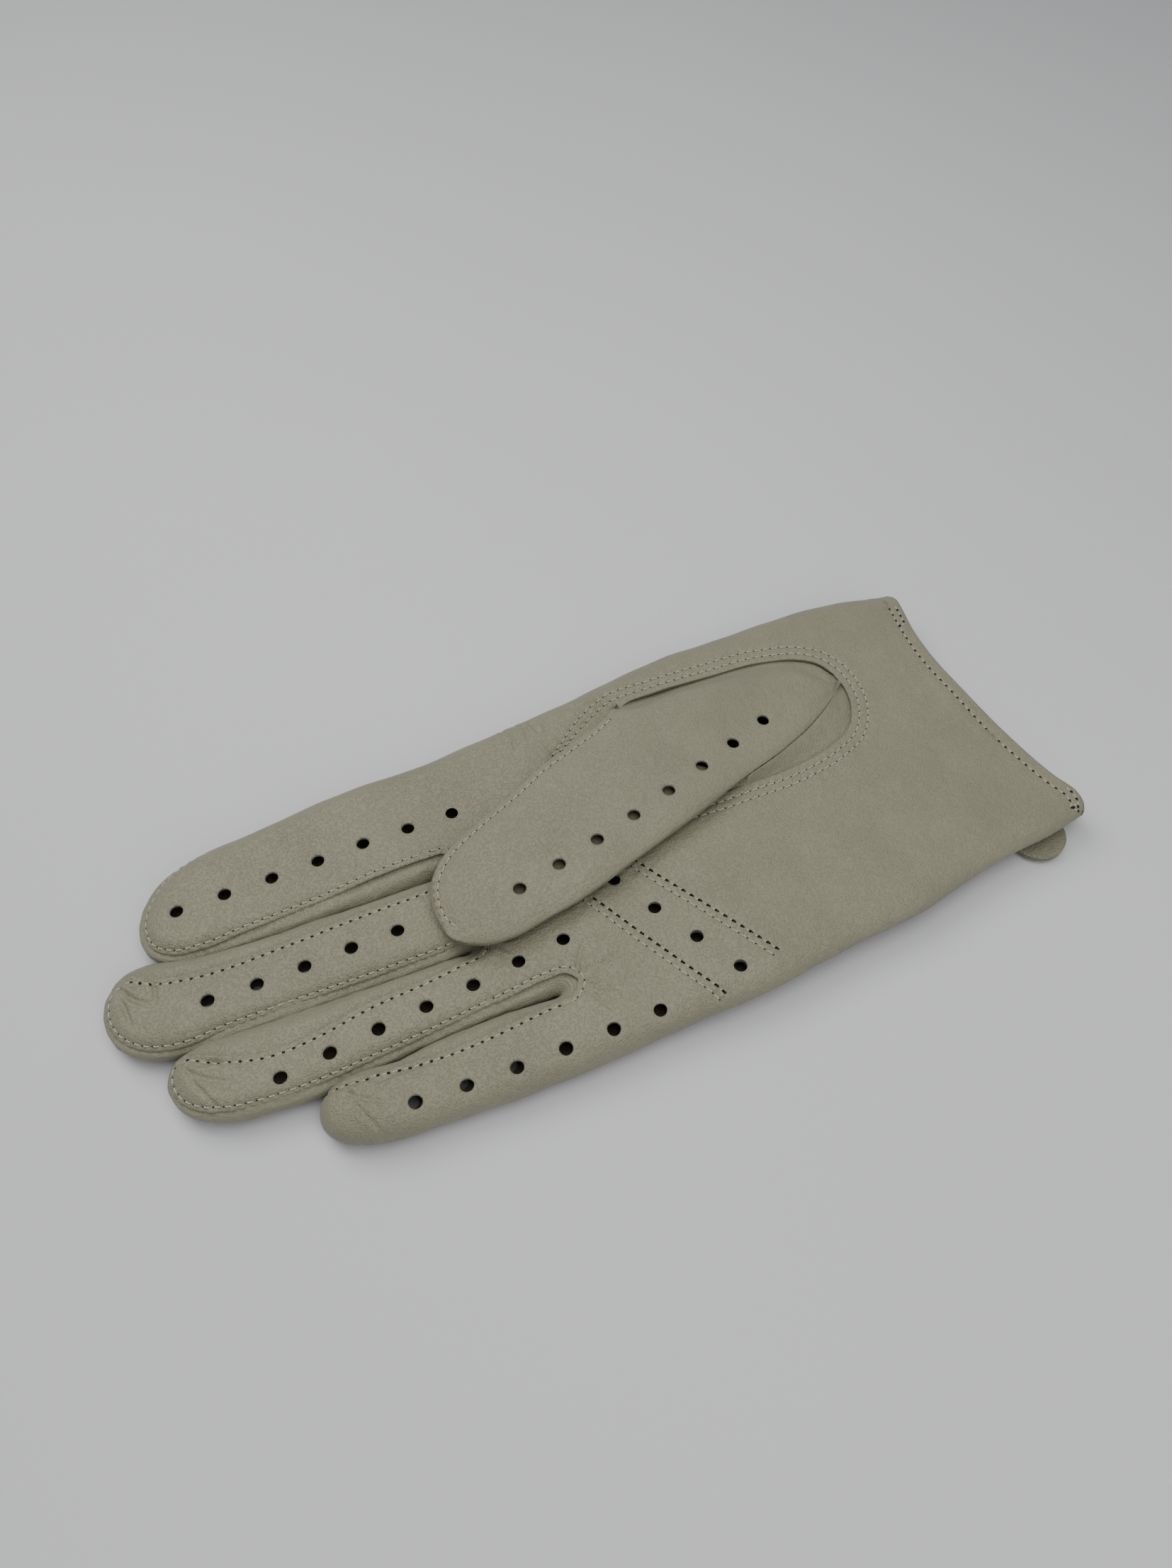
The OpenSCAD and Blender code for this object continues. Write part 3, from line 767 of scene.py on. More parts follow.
def joint_place(name):
    """A joint's place in the glove's millimetres, and its axis seen from above."""
    joint = JOINTS[name]
    return 1000 * np.array(joint["pos_m"]) - SHIFT, np.array(joint["axis"][:2])


THUMB_TURN, THUMB_AXIS = joint_place("thumb_lift")
ACROSS = np.array([-THUMB_AXIS[1], THUMB_AXIS[0]]) * np.sign(THUMB_AXIS[0])
THUMB_BLEND = [(*(THUMB_TURN[:2] + ACROSS * d), 0) for d in (-7.5, 3)]
# Which body a piece bends towards, away from the hand, and between which two places; here such pieces are
# only baked in place, not bent
BLENDS = {name: (name + "_finger", [(BEND_X[name], 0, 0), (BEND_X[name] + BEND, 0, 0)]) for name in FINGERS}
BLENDS["thumb_base"] = ("thumb", THUMB_BLEND)


def vertex_normals(p, tri):
    face = np.cross(p[tri[:, 1]] - p[tri[:, 0]], p[tri[:, 2]] - p[tri[:, 0]])
    n = np.zeros_like(p)
    for k in range(3):
        np.add.at(n, tri[:, k], face)
    return unit(n)


def edges_once(faces):
    """Directed edges that belong to one face only."""
    e = np.stack([faces, np.roll(faces, -1, axis=1)], 2).transpose(1, 0, 2).reshape(-1, 2)
    low, high = np.sort(e, axis=1).T
    _, index, count = np.unique(low * (high.max() + 1) + high, return_index=True, return_counts=True)
    return e[index[count == 1]]


def split_line(a, b):
    """Points on the straight line from a to b."""
    t = np.linspace(0, 1, max(2, int(np.linalg.norm(b - a) / EDGE)) + 1)[:, None]
    return a * (1 - t) + b * t


def join_parts(*parts):
    """A closed outline from parts, with the gaps between them filled in."""
    out = []
    for a, b in zip(parts, parts[1:] + parts[:1]):
        out.append(a)
        if np.linalg.norm(b[0] - a[-1]) >= 2 * EDGE:
            out.append(split_line(a[-1], b[0])[1:-1])
    p = np.vstack(out)
    keep = np.linalg.norm(p - np.roll(p, 1, axis=0), axis=1) > 1e-6
    return p[keep]


def lattice(lo, hi, step):
    """Points in rows, each row shifted by half a step from the last."""
    rows = np.arange(lo[1], hi[1], step * 0.866)
    out = []
    for i, y in enumerate(rows):
        x = np.arange(lo[0] + (i % 2) * step / 2, hi[0], step)
        out.append(np.stack([x, np.full(len(x), y)], 1))
    return np.vstack(out)


def triangulate(outline, holes, fine_lines):
    """Triangles over the inside of the outline and outside its holes, finer near the lines."""
    lo, hi = outline.min(0), outline.max(0)
    inner = lattice(lo, hi, GRID)
    if fine_lines:
        kd = tree(np.vstack([line.p for line in fine_lines]))
        fine = lattice(lo, hi, FINE)
        inner = np.vstack([inner[away_from(inner, kd) > FINE_REACH], fine[away_from(fine, kd) < FINE_REACH]])
    # Rings of points round each hole, where the leather dips
    around = []
    for h in holes:
        centre = h.mean(0)
        size = np.linalg.norm(h - centre, axis=1, keepdims=True)
        around += [centre + (h - centre) * (size + grow) / size for grow in (0.18, 0.5, 0.95)]
    if around:
        around = np.vstack(around)
        inner = np.vstack([around, inner[away_from(inner, tree(around)) > 0.28]])
    inner = inner[inside(inner, outline)]
    for h in holes:
        near = ((inner > h.min(0) - 0.1) & (inner < h.max(0) + 0.1)).all(1)
        near[near] = inside(inner[near], h)
        inner = inner[~near]
    # The edges themselves, and nothing so close to them that it would make slivers
    rings = [outline, *holes]
    edge = np.vstack(rings)
    inner = inner[away_from(inner, tree(edge)) > 0.16]
    loops = []
    for r in rings:
        start = len(loops)
        loops += [(start + i, start + (i + 1) % len(r)) for i in range(len(r))]
    points = [Vector(p) for p in np.vstack([edge, inner])]
    verts, _, faces, *_ = delaunay_2d_cdt(points, loops, [], 0, 1e-7)
    q = np.array([tuple(v) for v in verts])
    tri = np.array([f for f in faces if len(f) == 3])
    # Only what lies on the leather, with every triangle facing the same way
    centre = q[tri].mean(1)
    keep = inside(centre, outline)
    for h in holes:
        keep[keep] = ~inside(centre[keep], h)
    tri = tri[keep]
    a, b, c = q[tri[:, 0]], q[tri[:, 1]], q[tri[:, 2]]
    area = (b[:, 0] - a[:, 0]) * (c[:, 1] - a[:, 1]) - (b[:, 1] - a[:, 1]) * (c[:, 0] - a[:, 0])
    tri[area < 0] = tri[area < 0][:, ::-1]
    used, back = np.unique(tri, return_inverse=True)
    return q[used], back.reshape(-1, 3)


def leather(name, body, top, under, faces, rim, uv, materials=None, **more):
    """A piece of leather from its face, its underside and the edges between them."""
    count = len(top)
    skin = faces.tolist() + (faces[:, ::-1] + count).tolist()
    skin += np.c_[rim[:, 1], rim[:, 0], rim[:, 0] + count, rim[:, 1] + count].tolist()
    look = [0] * len(faces) + [1] * (len(skin) - len(faces))
    verts = np.vstack([top, under])
    return piece(name, body, verts, skin, np.vstack([uv, uv]), look, materials or [shell, flesh_and_edge_shade], **more)


def sheet(name, body, surface, outline, holes=(), fine=(), joins=(), hem=None, **more):
    """A leather panel: its outline and holes are given on the flat leather."""
    q, tri = triangulate(outline, list(holes), list(fine))
    if surface.side < 0:
        tri = tri[:, ::-1]
    base = surface.place(q)
    n = vertex_normals(base, tri)
    lift = surface.relief(q, base)
    joined = away_from(q, tree(np.vstack(joins))) if len(joins) else np.full(len(q), np.inf)
    edge = edges_once(tri)
    rim = edge[(joined[edge] > 1e-4).any(1)]
    # A turned edge comes down in a quarter circle, and a cut edge is a little rounded
    if hem is not None:
        d = np.clip(hem.foot(base[:, :2])[0], 0, LEATHER)
        lift = lift * (d / LEATHER) - (LEATHER - np.sqrt(np.maximum(LEATHER**2 - (LEATHER - d) ** 2, 0)))
        top, under = base + n * lift[:, None], base - n * LEATHER
    else:
        soft = -0.16 * bell(away_from(q, tree(q[np.unique(rim)])), 0.14) if len(rim) else 0
        top = base + n * (lift + soft)[:, None]
        under = base + n * (np.minimum(lift, 0.3) - LEATHER)[:, None]
    return leather(name, body, top, under, tri, rim, q, **more)


def grid_piece(name, body, p, rows, cols, thick=LEATHER, open_ends=False, **more):
    """A strip of leather from a grid of points, given a thickness towards its underside.

    rows and cols are the grain's coordinates along both sides of the grid.
    """
    ids = np.arange(p.shape[0] * p.shape[1]).reshape(p.shape[:2])
    a, b = ids[:-1], ids[1:]
    quads = np.stack([a[:, :-1], b[:, :-1], b[:, 1:], a[:, 1:]], -1).reshape(-1, 4)
    top = p.reshape(-1, 3)
    n = vertex_normals(top, np.vstack([quads[:, :3], quads[:, [0, 2, 3]]]))
    rim = edges_once(quads)
    if open_ends:
        rim = rim[np.abs(rim[:, 0] - rim[:, 1]) > 1]
    return leather(name, body, top, top - n * thick, quads, rim, grid_uv(rows, cols), **more)


def grid_uv(rows, cols):
    """The grain's coordinates at every point of a grid."""
    return np.stack(np.broadcast_arrays(rows[:, None], cols[None]), -1).reshape(-1, 2).astype(float)


def on_surface(surface, q):
    """Points of the finished leather at places on the flat leather, and its normals there."""
    step = 0.15
    here = surface.place(q)
    dx = surface.place(q + [step, 0]) - here
    dy = surface.place(q + [0, step]) - here
    n = unit(np.cross(dx, dy) * surface.side)
    return here + n * surface.relief(q, here)[:, None], n


def circle(sides):
    """The angles of points spaced evenly round a circle."""
    return [2 * math.pi * j / sides for j in range(sides)]


def ring_faces(a, b, sides):
    """Faces between two rings of points, whose first points are a and b."""
    return [(a + j, a + (j + 1) % sides, b + (j + 1) % sides, b + j) for j in range(sides)]


def cap(first, sides):
    """The face that closes a ring of points."""
    return tuple(range(first, first + sides))


class Sewing:
    """Stitches of one body, collected and then made into two pieces."""

    def __init__(self):
        self.threads, self.holes = [], []

    def add(self, surface, q, length=1.75, proud=0.16, hole=0.24):
        """Stitches along a line of places on the flat leather; hole is the size of the painted shade mark at
        each needle hole.
        """
        path = resample(np.asarray(q, float), 0.15)
        p, n = on_surface(surface, path)
        s = along(path)
        for k in range(int(s[-1] / STITCH)):
            at = (k + 0.5) * STITCH + np.linspace(-0.5, 0.5, 7) * length
            here, up = interpolate(at, s, p), interpolate(at, s, n)
            # The thread arches over the leather and goes down into it at both ends
            arch = np.sin(np.linspace(0, math.pi, 7))[:, None]
            self.threads.append((here + up * (proud * arch**0.6 + 0.04 - 0.12 * (1 - arch)), up))
            # A near-black mark at the stitch's start is painted shade for its needle hole
            self.holes.append((here[0] + up[0] * 0.01, up[0], here[-1] - here[0], hole))

    def make(self, name, body):
        """Two pieces: the threads, and near-black marks where the stitches start, painted shade for the dark
        inside of each needle hole.
        """
        verts, faces, uv = [], [], []
        shape = THREAD_R * np.array([0.35, 0.85, 1, 1, 1, 0.85, 0.35])
        sides, last = 6, len(shape) - 1
        for path, up in self.threads:
            run = unit(np.gradient(path, axis=0))
            across = unit(np.cross(run, up))
            high = np.cross(across, run)
            start = len(verts)
            for i, size in enumerate(shape):
                for j, a in enumerate(circle(sides)):
                    verts.append(path[i] + size * (math.cos(a) * across[i] + math.sin(a) * high[i]))
                    uv.append((i * 0.3, j * 0.18))
            for i in range(last):
                faces += ring_faces(start + i * sides, start + (i + 1) * sides, sides)
            faces += [cap(start, sides)[::-1], cap(start + last * sides, sides)]
        piece(name + "_thread", body, verts, faces, uv, [0] * len(faces), [thread])
        verts, faces, uv = [], [], []
        sides = 8
        for centre, up, run, size in self.holes:
            run = run / np.linalg.norm(run)
            across = np.cross(run, up)
            start = len(verts)
            for r, high in ((size, -0.06), (0.8 * size, 0.1)):
                for a in circle(sides):
                    x, y = r * math.cos(a), r * math.sin(a)
                    verts.append(centre + 1.25 * x * run + y * across + up * high)
                    uv.append((x, y))
            faces += ring_faces(start + sides, start, sides)
            faces += [cap(start + sides, sides), cap(start, sides)[::-1]]
        piece(name + "_painted_hole_shades", body, verts, faces, uv, [0] * len(faces), [hole_shade])


# ---------------------------------------------------------------- panels of hand and fingers

CUT_SPLITS = [(158.4, -6.6), (160, 1), (160, 18.3), (156.6, 21.9), (156.6, 35.8), (142.4, 41)]
CROSS = [cut_index(place) for place in CUT_SPLITS]
PANEL_ROOT = {"index": 158, "middle": 160, "ring": 156, "little": 142}   # where each finger's panel starts
S_INDEX = silhouette.near((158.4, -36.5))
S_INDEX_SEAM = silhouette.near(PANEL_CUT[0])
S_LITTLE_SEAM = silhouette.near(PANEL_CUT[-1])
S_LITTLE = silhouette.near((142.4, 57))
S_TIP_MIDDLE = silhouette.near((240.9, 6.2))
S_TIP_RING = silhouette.near((230, 27))


def vent_holes(surface, centres):
    """Round holes as outlines on the flat leather."""
    return [surface.flat(ellipse(c, VENT_R, VENT_R)) for c in centres]


def finger_outline(name, surface):
    """A finger's panel on the flat leather, and the parts of its edge that join other panels."""
    c = [0, *CROSS, len(panel_flat)]
    first = 2 * FINGERS.index(name)
    cut = panel_flat[c[first]:c[first + 1] + 1]
    if name == "index":
        rim = surface.rim(S_INDEX, S_INDEX_SEAM)
        return join_parts(rim, cut), [split_line(cut[-1], rim[0]), rim]
    if name == "little":
        rim = surface.rim(S_LITTLE_SEAM, S_LITTLE)
        return join_parts(cut, rim), [rim, split_line(rim[-1], cut[0])]
    return join_parts(cut), [split_line(cut[-1], cut[0])]


def straight_outline(corners):
    """A closed outline with straight sides."""
    return join_parts(*[split_line(a, b)[:-1] for a, b in zip(corners, corners[1:] + corners[:1])])


def hand_outline(surface, cuff):
    """The hand's panel on the flat leather, and the parts of its edge that join other panels."""
    s_in, s_out = silhouette.near(cuff[-1]), silhouette.near(cuff[0])
    index_rim, little_rim = surface.rim(s_in, S_INDEX), surface.rim(S_LITTLE, s_out)
    roots = [panel_flat[a:b + 1] for a, b in zip(CROSS[::2], CROSS[1::2])]
    parts = [index_rim, *roots, little_rim]
    joins = [index_rim, little_rim, *(split_line(a[-1], b[0]) for a, b in zip(parts, parts[1:]))]
    return join_parts(*parts, surface.flat(cuff)), joins


crease_lines = [line for _, _, lines in CREASES for line in lines]


def make_palm():
    surface = Hand(1)
    outline, joins = hand_outline(surface, CUFF_PALM)
    centres = [c for name in FINGERS for c in VENTS[name] if c[0] < PANEL_ROOT[name]]
    holes = [*vent_holes(surface, [*centres, *VENTS["band"]]), surface.flat(THUMB_HOLE)]
    fine = [panel_seam, *crease_lines, *hole_seams, *band_seams, cuff_seams[1]]
    sheet("palm_leather", "hand", surface, outline, holes, fine, joins, Line(CUFF_PALM))


def vent_outline(start_x):
    """The wrist vent: two straight sides and a round end, from the palm's little side."""
    reach = math.sqrt(VENT_END_R**2 - VENT_HALF**2)
    a = math.atan2(VENT_HALF, -reach)
    turn = np.linspace(a, -a, 40)
    arc = np.stack([VENT_END + VENT_END_R * np.cos(turn), VENT_END_R * np.sin(turn)], 1)
    return resample(np.vstack([[(start_x, VENT_HALF)], arc, [(start_x, -VENT_HALF)]]), EDGE)


def make_back():
    surface = Hand(-1)
    y = CUFF_BACK[:, 1]
    cuff = np.vstack([CUFF_BACK[y > VENT_HALF], vent_outline(5.4)[1:-1], CUFF_BACK[y < -VENT_HALF]])
    outline, joins = hand_outline(surface, cuff)
    holes = [surface.flat(ellipse(c, 4.5, 7)) for c in KNUCKLES]
    sheet("back_leather", "hand", surface, outline, holes, [panel_seam, cuff_seams[-1], *knuckle_rims], joins)


def make_fingers():
    for name in FINGERS:
        for side, word, vents, lines in ((1, "palm", VENTS, crease_lines), (-1, "back", BACK_VENTS, [])):
            surface = Hand(side, name)
            outline, joins = finger_outline(name, surface)
            holes = vent_holes(surface, [c for c in vents[name] if c[0] > PANEL_ROOT[name]])
            sheet(f"{name}_{word}_panel", name, surface, outline, holes, [SEAMS[name], *lines], joins)


def side_strip(name, body, s0, s1, step):
    """Leather between palm and back panels, round the silhouette from s0 to s1."""
    s = np.linspace(s0, s1, max(4, int((s1 - s0) / step)))
    rim, inward = silhouette.at(s)
    reach = np.empty(len(s))
    for cut, start, end in zip(CUTS, FINGER_ENDS, FINGER_ENDS[1:]):
        own = (s >= start) & (s <= end)
        if own.any():
            reach[own] = np.abs(cut.foot(rim[own])[0]) + STRIP_PAST_CUT
    deep = unrolled(reach)
    wide = int(2.5 / step)
    deep = np.convolve(np.pad(deep, wide, mode="edge"), np.ones(2 * wide + 1) / (2 * wide + 1), mode="valid")
    layers, swell = [], []
    halfway = np.linspace(1, 0, 21)
    for surface, depths in ((Hand(1), halfway), (Hand(-1), halfway[::-1][1:])):
        for f in depths:
            d = QUARTER + (deep - QUARTER) * f
            layers.append(surface.fold(rim, inward, d, LEATHER + 0.05))
            swell.append(ramp(deep - d, 2.1, 4.6) * (1 - 0.45 * ramp(deep - d, 4.6, 9)))
    p = np.stack(layers, 1)[:, ::-1]
    swell = (np.stack(swell, 1)[:, ::-1] * np.interp(s, PUFF_S, PUFF)[:, None]).ravel()
    across = np.arange(p.shape[1]) * 0.7
    uv = grid_uv(s, across)
    normals = unit(np.cross(np.gradient(p, axis=0), np.gradient(p, axis=1)).reshape(-1, 3))
    wave = 0.1 * uneven(uv, 5, 21) + 0.05 * uneven(uv, 2.4, 22)
    middle = np.sin(np.linspace(0, math.pi, p.shape[1]))[None].repeat(len(s), 0).ravel()
    p = p + (normals * (wave * middle + swell)[:, None]).reshape(p.shape)
    grid_piece(name, body, p, s, across, open_ends=True)


STRIP_PAST_CUT = 2.0   # how far the side strips go on under the panels
CUTS = [Line(PANEL_CUT[a:b + 1]) for a, b in zip(CUT_ENDS, CUT_ENDS[1:])]
# How far each side strip swells out beyond the stitches, by the distance along the silhouette
S_TURNS = [S_CROTCH[0], S_TIP_MIDDLE, S_CROTCH[1], S_TIP_RING, S_CROTCH[2]]
PUFF_S = [S_INDEX_SEAM, S_INDEX_SEAM + 12, *np.ravel([(s - 7, s, s + 7) for s in S_TURNS]), S_LITTLE_SEAM]
PUFF = [0.2, 1.0, 1.0, 0, 0.4, 0.4, 0.6, 1.0, 1.0, 0, 0.4, 0.4, 0.6, 0.8, 0.8, 0, 0.4, 0.4]


def make_sides():
    roots = ((160, -2.6), (160, -1.8), (160, 19.3), (160, 20.3), (160, 37.5), (145, 38.5))
    a, b, c, d, e, f = (silhouette.near(place) for place in roots)
    for name, body, start, end in (
        ("index_fourchette", "index", S_INDEX_SEAM, a),
        ("index_middle_crotch", "hand", a, b),
        ("middle_fourchette_index_side", "middle", b, S_TIP_MIDDLE),
        ("middle_fourchette_ring_side", "middle", S_TIP_MIDDLE, c),
        ("middle_ring_crotch", "hand", c, d),
        ("ring_fourchette_middle_side", "ring", d, S_TIP_RING),
        ("ring_fourchette_little_side", "ring", S_TIP_RING, e),
        ("ring_little_crotch", "hand", e, f),
        ("little_fourchette", "little", f, S_LITTLE_SEAM),
    ):
        side_strip(name, body, start, end, 0.1 if body == "hand" else 0.6)


# Stitches that sink into the leather: on the index side of the middle and ring finger, all round
# the little finger and along the palm's cuff, and in the first row of each pair in the band
# Their needle holes get larger marks of painted shade
SUNK = {"proud": -0.04, "hole": 0.4, "length": 1.6}
SUNK_IN_BAND = {"proud": -0.1, "hole": 0.58, "length": 1.4}
S_MIDDLE_STAR = panel_seam.near(Hand(1, "middle").flat([(236, -0.6)])[0])
S_RING_STAR = panel_seam.near(Hand(1, "ring").flat([(227.4, 24)])[0])


def make_seams():
    """Stitching along every panel edge, split between hand and fingers."""
    marks = [0, *(panel_seam.near(panel_flat[i]) for i in CROSS), panel_seam.s[-1]]
    owners = ["index", "hand", "middle", "hand", "ring", "hand", "little"]
    work = {name: Sewing() for name in (*FINGERS, "hand")}
    for owner, a, b in zip(owners, marks, marks[1:]):
        tip = {"middle": S_MIDDLE_STAR, "ring": S_RING_STAR, "little": b}.get(owner, a)
        for start, end, style in ((a, tip, SUNK), (tip, b, {})):
            if end - start < STITCH:
                continue
            path = panel_seam.at(np.linspace(start, end, int((end - start) / 0.3)))[0]
            work[owner].add(Hand(1, owner), path, **style)
            work[owner].add(Hand(-1, owner), path)
    hand, palm, back = work["hand"], Hand(1), Hand(-1)
    for line in (*hole_seams, *band_seams[1::2]):
        hand.add(palm, palm.flat(line.p))
    for line in band_seams[::2]:
        hand.add(palm, palm.flat(line.p), **SUNK_IN_BAND)
    edge = cuff_seams[1].p
    hand.add(palm, palm.flat(edge[4:-4]), **SUNK)
    # A second row at both ends of the palm's cuff
    for part in (edge[10:36], edge[-44:-10]):
        hand.add(palm, palm.flat(offset(part, -1.9)), **SUNK)
    edge = cuff_seams[-1].p
    clear = 8   # on both sides of the wrist vent
    for part in (edge[edge[:, 1] > clear], edge[edge[:, 1] < -clear]):
        hand.add(back, back.flat(part[4:-4]))
    hand.add(back, offset(vent_outline(10), 3.6))
    for c in KNUCKLES:
        ring = ellipse(c, 6.2, 8.7)
        hand.add(back, back.flat(np.vstack([ring, ring[:1]])))
    for name, sewing in work.items():
        sewing.make(name, name)


# ---------------------------------------------------------------- thumb

THUMB_UNDER = [(36, -19.5), (36.4, -24), (39, -30), (46, -35), (60, -37), (80, -37), (90, -36.8), (96, -35)]
THUMB_BASE = [(76, 1.4), (84, -4), (93, -12), (99, -20), (103.4, -28.4)]


def make_thumb():
    front, back = Thumb(1), Thumb(-1)
    start, end = S_THUMB_SEAM
    joined = front.rim(S_THUMB_TURN[1], S_THUMB_END)
    outline = join_parts(front.rim(start, S_THUMB_END), smooth(THUMB_UNDER))
    holes = vent_holes(front, VENTS["thumb"])
    sheet("thumb_front_leather", "thumb_base", front, outline, holes, [Line(front.rim(start, end))], [joined])
    rim = back.rim(thumb_line.near(THUMB_BASE[-1]), thumb_line.near(THUMB_BASE[0]))
    outline = join_parts(rim, back.flat(smooth(THUMB_BASE)))
    sheet("thumb_back_leather", "thumb_base", back, outline, (), [Line(rim)], [joined])
    sewing = Sewing()
    p, n = thumb_line.at(np.linspace(start + 4, end + 2, 400))
    path = p + n * THUMB_SEAM_IN
    sewing.add(front, path)
    sewing.add(back, path[60:])
    sewing.make("thumb", "thumb_base")
    make_gusset()


def make_gusset():
    """The web from the oval in the palm to the underside of the thumb."""
    front, back = Thumb(1), Thumb(-1)
    outer = resample(offset(smooth(HOLE_PALM_SIDE + HOLE_INDEX_SIDE[1:3]), 2.6), 0.8)
    start = np.c_[outer, profile(outer[:, 0], STATIONS, TOP) - 1.1]
    ends = thumb_line.near((37.6, -18.4)), thumb_line.near(THUMB_BASE[0])
    fold = thumb_line.at(np.linspace(*ends, 60))[0]
    top, bottom = front.heights(fold[:, 0])
    base = back.place(back.flat(smooth([*THUMB_BASE, (99, -32.4)])))
    inner = resample(np.vstack([np.c_[fold, (top + bottom) / 2], base[1:]]), 0.3)
    s = along(inner)
    inner = interpolate(np.linspace(0, s[-1], len(outer)), s, inner)
    f = np.linspace(0, 1, 22)
    low = np.minimum(start[:, 2], inner[:, 2]) - 0.15
    rows = []
    for k in f:
        p = start * (1 - k) + inner * k
        p[:, 2] = low + (p[:, 2] - low) * ramp(k, 0.1, 1.0)
        rows.append(p)
    obj = grid_piece("thumb_gusset", "thumb_base", np.stack(rows, 1)[::-1], along(outer)[::-1], f * 14)


# ---------------------------------------------------------------- cuff, vent, band, strap

def folded_edge(name, line, surface, reach, outer, inner, materials=None):
    """Leather folded round an edge of a panel, outer and inner measured from its face."""
    middle, half = (outer + inner) / 2, (outer - inner) / 2
    turns = np.linspace(math.pi / 2, -math.pi / 2, 9)
    nose = [(0.9 * (1 - math.cos(a)), middle + half * math.sin(a)) for a in turns]
    rows = []
    for d, h in [(reach, outer), *nose, (reach, inner)]:
        xy = line.p + line.left * max(d, 0.02)
        at = surface.place(surface.flat(xy))
        at[:, :2] = xy
        at[:, 2] += surface.side * h
        rows.append(at)
    p = np.stack(rows, 1)[:, ::surface.side]
    grid_piece(name, "hand", p, line.s, np.linspace(0, 6, len(rows)), thick=0.35,
               materials=materials or [binding, flesh_and_edge_shade], slot="binding_leather")


def make_edges():
    palm, back = Hand(1), Hand(-1)
    # The palm leather turns in at the cuff, and the turned layer is the hem
    folded_edge("cuff_binding", Line(CUFF_PALM[2:-4], EDGE), palm, 6.0, -0.82, -1.6, [shell, flesh_and_edge_shade])
    y = CUFF_BACK[:, 1]
    clear = VENT_HALF + 0.4
    for part, word in ((CUFF_BACK[y > clear][2:], "little"), (CUFF_BACK[y < -clear][:-4], "index")):
        folded_edge(f"cuff_back_{word}_side", Line(part, EDGE), back, 3.4, 0.28, -1.15)
    folded_edge("vent_binding", Line(vent_outline(6.0), EDGE), back, 2.2, 0.4, -1.2)


class Plate:
    """A plain piece of leather, laid out by a function of its own, facing up (+1) or down (-1)."""

    def __init__(self, place, side=-1, rough=0.05):
        self.place, self.side, self.rough = place, side, rough

    def relief(self, q, p):
        return self.rough * uneven(q, 9, 31)


def make_band_backing():
    palm = Hand(1)
    start, end = np.array((98.6, 50.2)), np.array((123.2, 8))
    length = np.linalg.norm(end - start)
    run = (end - start) / length
    side = np.array([-run[1], run[0]])
    corners = [start + t * run + w * side
               for t, w in ((0, -10.5), (length, -10.5), (length, 10.5), (0, 10.5))]
    outline = straight_outline(corners)
    holes = [ellipse(c, VENT_R + 0.1, VENT_R + 0.1) for c in VENTS["band"]]
    holes = [h for h in holes if inside(h, outline).all()]
    under = Plate(lambda q: palm.place(q) - [0, 0, LEATHER + 0.12], side=1, rough=0.0)
    sheet("palm_band_backing", "hand", under, outline, holes, materials=[flesh_and_edge_shade, flesh_and_edge_shade], slot="inside_leather")


STRAP_TURN, STRAP_AXIS = joint_place("strap_open")
STRAP_RUN = np.array([STRAP_AXIS[1], -STRAP_AXIS[0]])
STRAP_RUN = STRAP_RUN * np.sign(STRAP_RUN[1])
STRAP_SIDE = np.array([STRAP_RUN[1], -STRAP_RUN[0]])
STRAP_W, STRAP_END, SNAP_AT = 15.0, 14.0, 45.8
STRAP_SEAM_IN = 1.6


def on_strap(places):
    """Places u along the strap and v across it, from its hinge, in the glove's millimetres."""
    return [STRAP_TURN[:2] + STRAP_RUN * u + STRAP_SIDE * v for u, v in places]


def strap_shape(width, start, end):
    """Outline of the strap with a round free end."""
    r = width / 2
    tip = [(end - r + r * math.cos(a), r * math.sin(a)) for a in np.linspace(-math.pi / 2, math.pi / 2, 40)]
    return np.array(on_strap([(start, -r), *tip, (start, r)]))


def make_strap():
    length = SNAP_AT + STRAP_END
    outline = join_parts(resample(strap_shape(STRAP_W, 0.4, length), EDGE))
    hole = ellipse(on_strap([(SNAP_AT, 0)])[0], 1.4, 1.4)
    outer = Plate(lambda q: np.c_[q, np.full(len(q), 1.4)])
    lining = Plate(lambda q: np.c_[q, np.full(len(q), 2.22)])
    sheet("strap_leather", "strap", outer, outline, [hole])
    sheet("strap_lining", "strap", lining, outline, [hole], materials=[gusset_leather, shell],
          slot="inside_leather")
    sewing = Sewing()
    sewing.add(outer, strap_shape(STRAP_W - 2 * STRAP_SEAM_IN, 2.0, length - STRAP_SEAM_IN))
    sewing.make("strap", "strap")

    def slope(q):
        """The sewn end rises from the strap's height to just under the leather of the back."""
        u = -(q - STRAP_TURN[:2]) @ STRAP_RUN
        wrist = BOTTOM[0] - LEATHER - 0.3
        return np.c_[q, 1.5 + (wrist - 1.5) * ramp(u, 0.0, 13.0)]

    anchor = Plate(slope)
    half = STRAP_W / 2
    outline = straight_outline(on_strap([(0.0, -half), (0.0, half), (-22.5, half), (-22.5, -half)]))
    sheet("strap_anchor", "hand", anchor, outline)
    half -= STRAP_SEAM_IN
    box = [(-14.5, -half), (-21, -half), (-21, half), (-14.5, half), (-14.5, -half)]
    sewing = Sewing()
    sewing.add(anchor, np.array(on_strap(box)))
    sewing.make("strap_anchor", "hand")
    for node in ("snap_cap", "snap_socket", "snap_stud", "snap_post"):
        obj = frame["nodes"][node]
        obj.data.materials.clear()
        obj.data.materials.append(metal)


# ---------------------------------------------------------------- setting

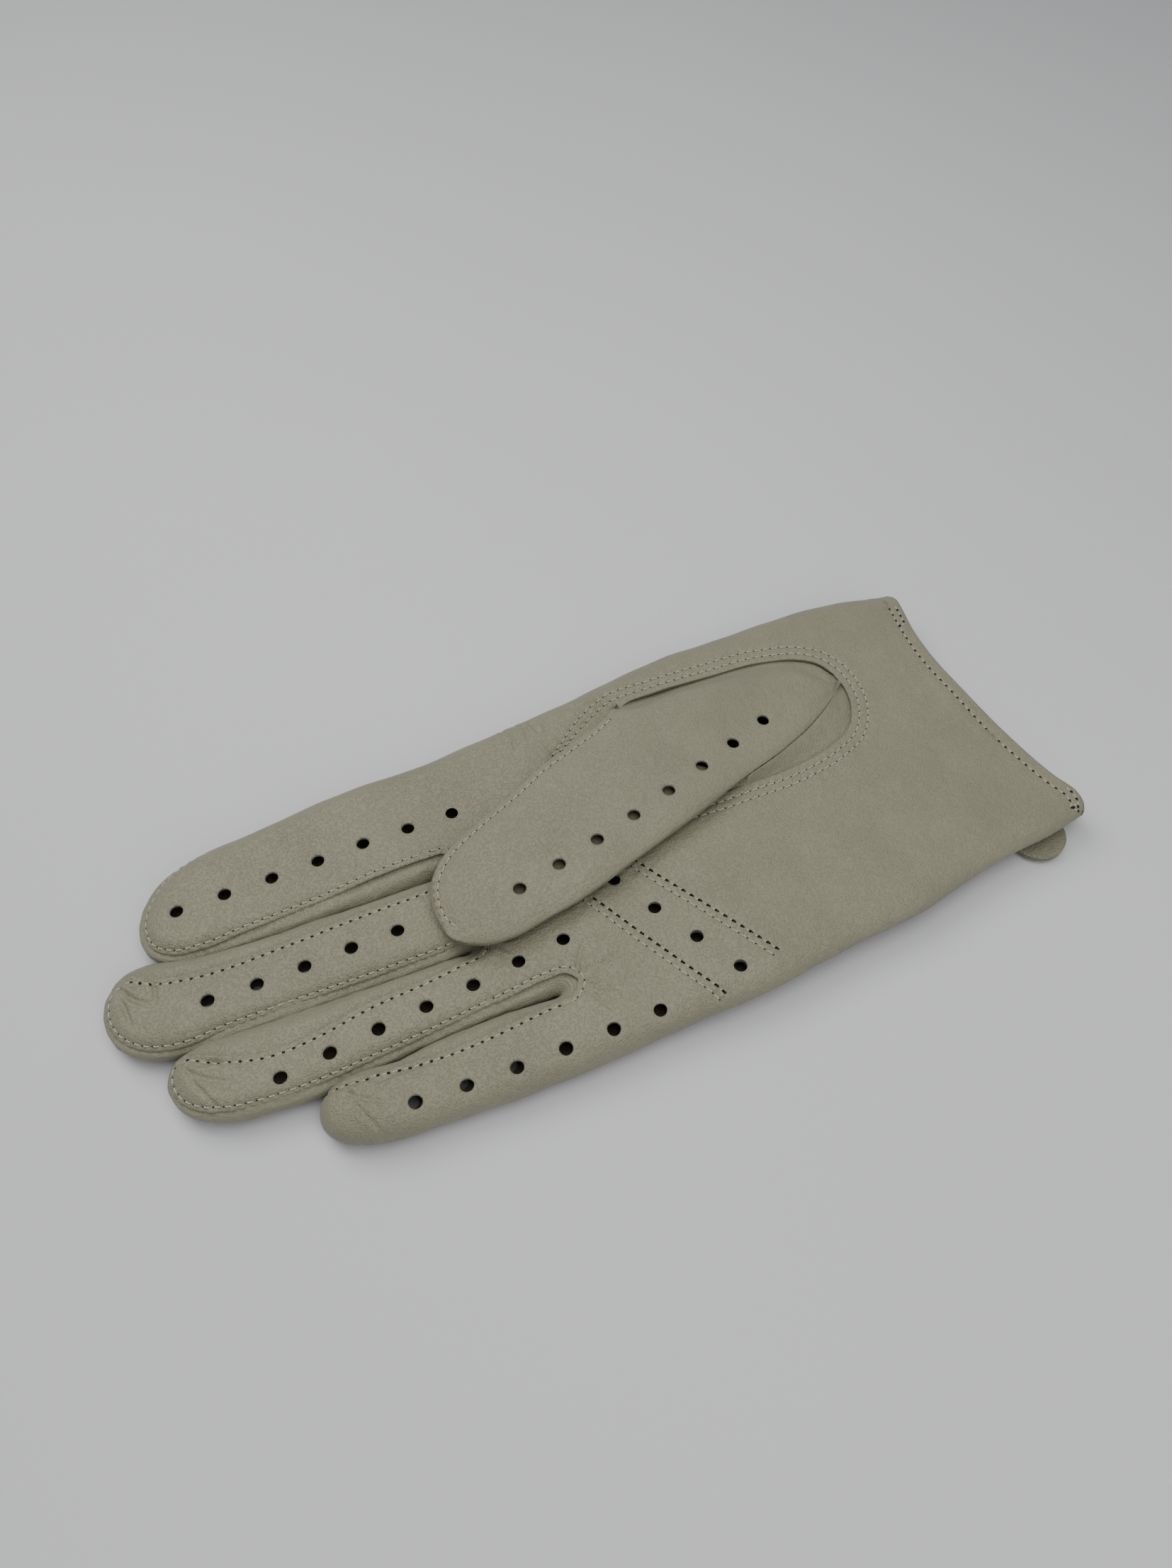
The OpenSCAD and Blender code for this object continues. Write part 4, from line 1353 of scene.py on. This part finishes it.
def make_stage():
    mesh = bpy.data.meshes.new("floor")
    r = 12.0   # half its width in metres
    mesh.from_pydata([(-r, -r, 0), (r, -r, 0), (r, r, 0), (-r, r, 0)], [], [(0, 1, 2, 3)])
    floor = add_object("floor", mesh)
    w = Material("pale_floor")
    cloud = w.spread(w.noise(w.add("TexCoord").outputs["Object"], 3.0, 2.0), 0.3, 0.7)
    tone = w.mix(cloud, (0.63, 0.632, 0.642, 1.0), (0.655, 0.657, 0.665, 1.0))
    mesh.materials.append(w.finish({"Base Color": tone, "Roughness": 0.75, "Specular IOR Level": 0.2}))


def lamp(name, spot, aim, size, power):
    """A round area light at a spot, turned towards its aim, in metres and watts."""
    light = bpy.data.lights.new(name, "AREA")
    light.shape = "DISK"
    light.size = size
    light.energy = power
    obj = add_object(name, light)
    obj.location = spot
    obj.rotation_euler = (Vector(aim) - Vector(spot)).to_track_quat("-Z", "Y").to_euler()


def make_lights():
    lamp("key", (0.22, -0.44, 0.66), (0, 0, 0), 0.6, 3.6)
    lamp("overhead", (-0.02, 0.08, 0.6), (0, 0.01, 0), 0.45, 1.65)
    lamp("fill", (-0.12, 0.62, 0.5), (0, 0, 0), 0.7, 1.9)
    world = bpy.data.worlds.new("studio")
    world.use_nodes = True
    background = world.node_tree.nodes["Background"]
    background.inputs["Color"].default_value = (0.95, 0.98, 1.0, 1)
    background.inputs["Strength"].default_value = 0.205
    bpy.context.scene.world = world


def make_camera():
    spot = to_row([178.63, 149.67, 259.75])
    forward = Vector((-0.20947, -0.53396, -0.81915))
    up = Vector((-0.29916, -0.76257, 0.57358))
    right = forward.cross(up)
    cam = bpy.data.cameras.new("camera")
    cam.lens = 27.1
    cam.sensor_width = 36
    cam.sensor_fit = "AUTO"
    cam.clip_start = 0.01
    obj = add_object("camera", cam)
    turn = Matrix((right, up, -forward)).transposed().to_4x4()
    turn.translation = Vector(spot)
    obj.matrix_world = turn
    bpy.context.scene.camera = obj


make_camera()
make_lights()
make_stage()
make_palm()
make_back()
make_fingers()
make_sides()
make_seams()
make_thumb()
make_edges()
make_band_backing()
make_strap()
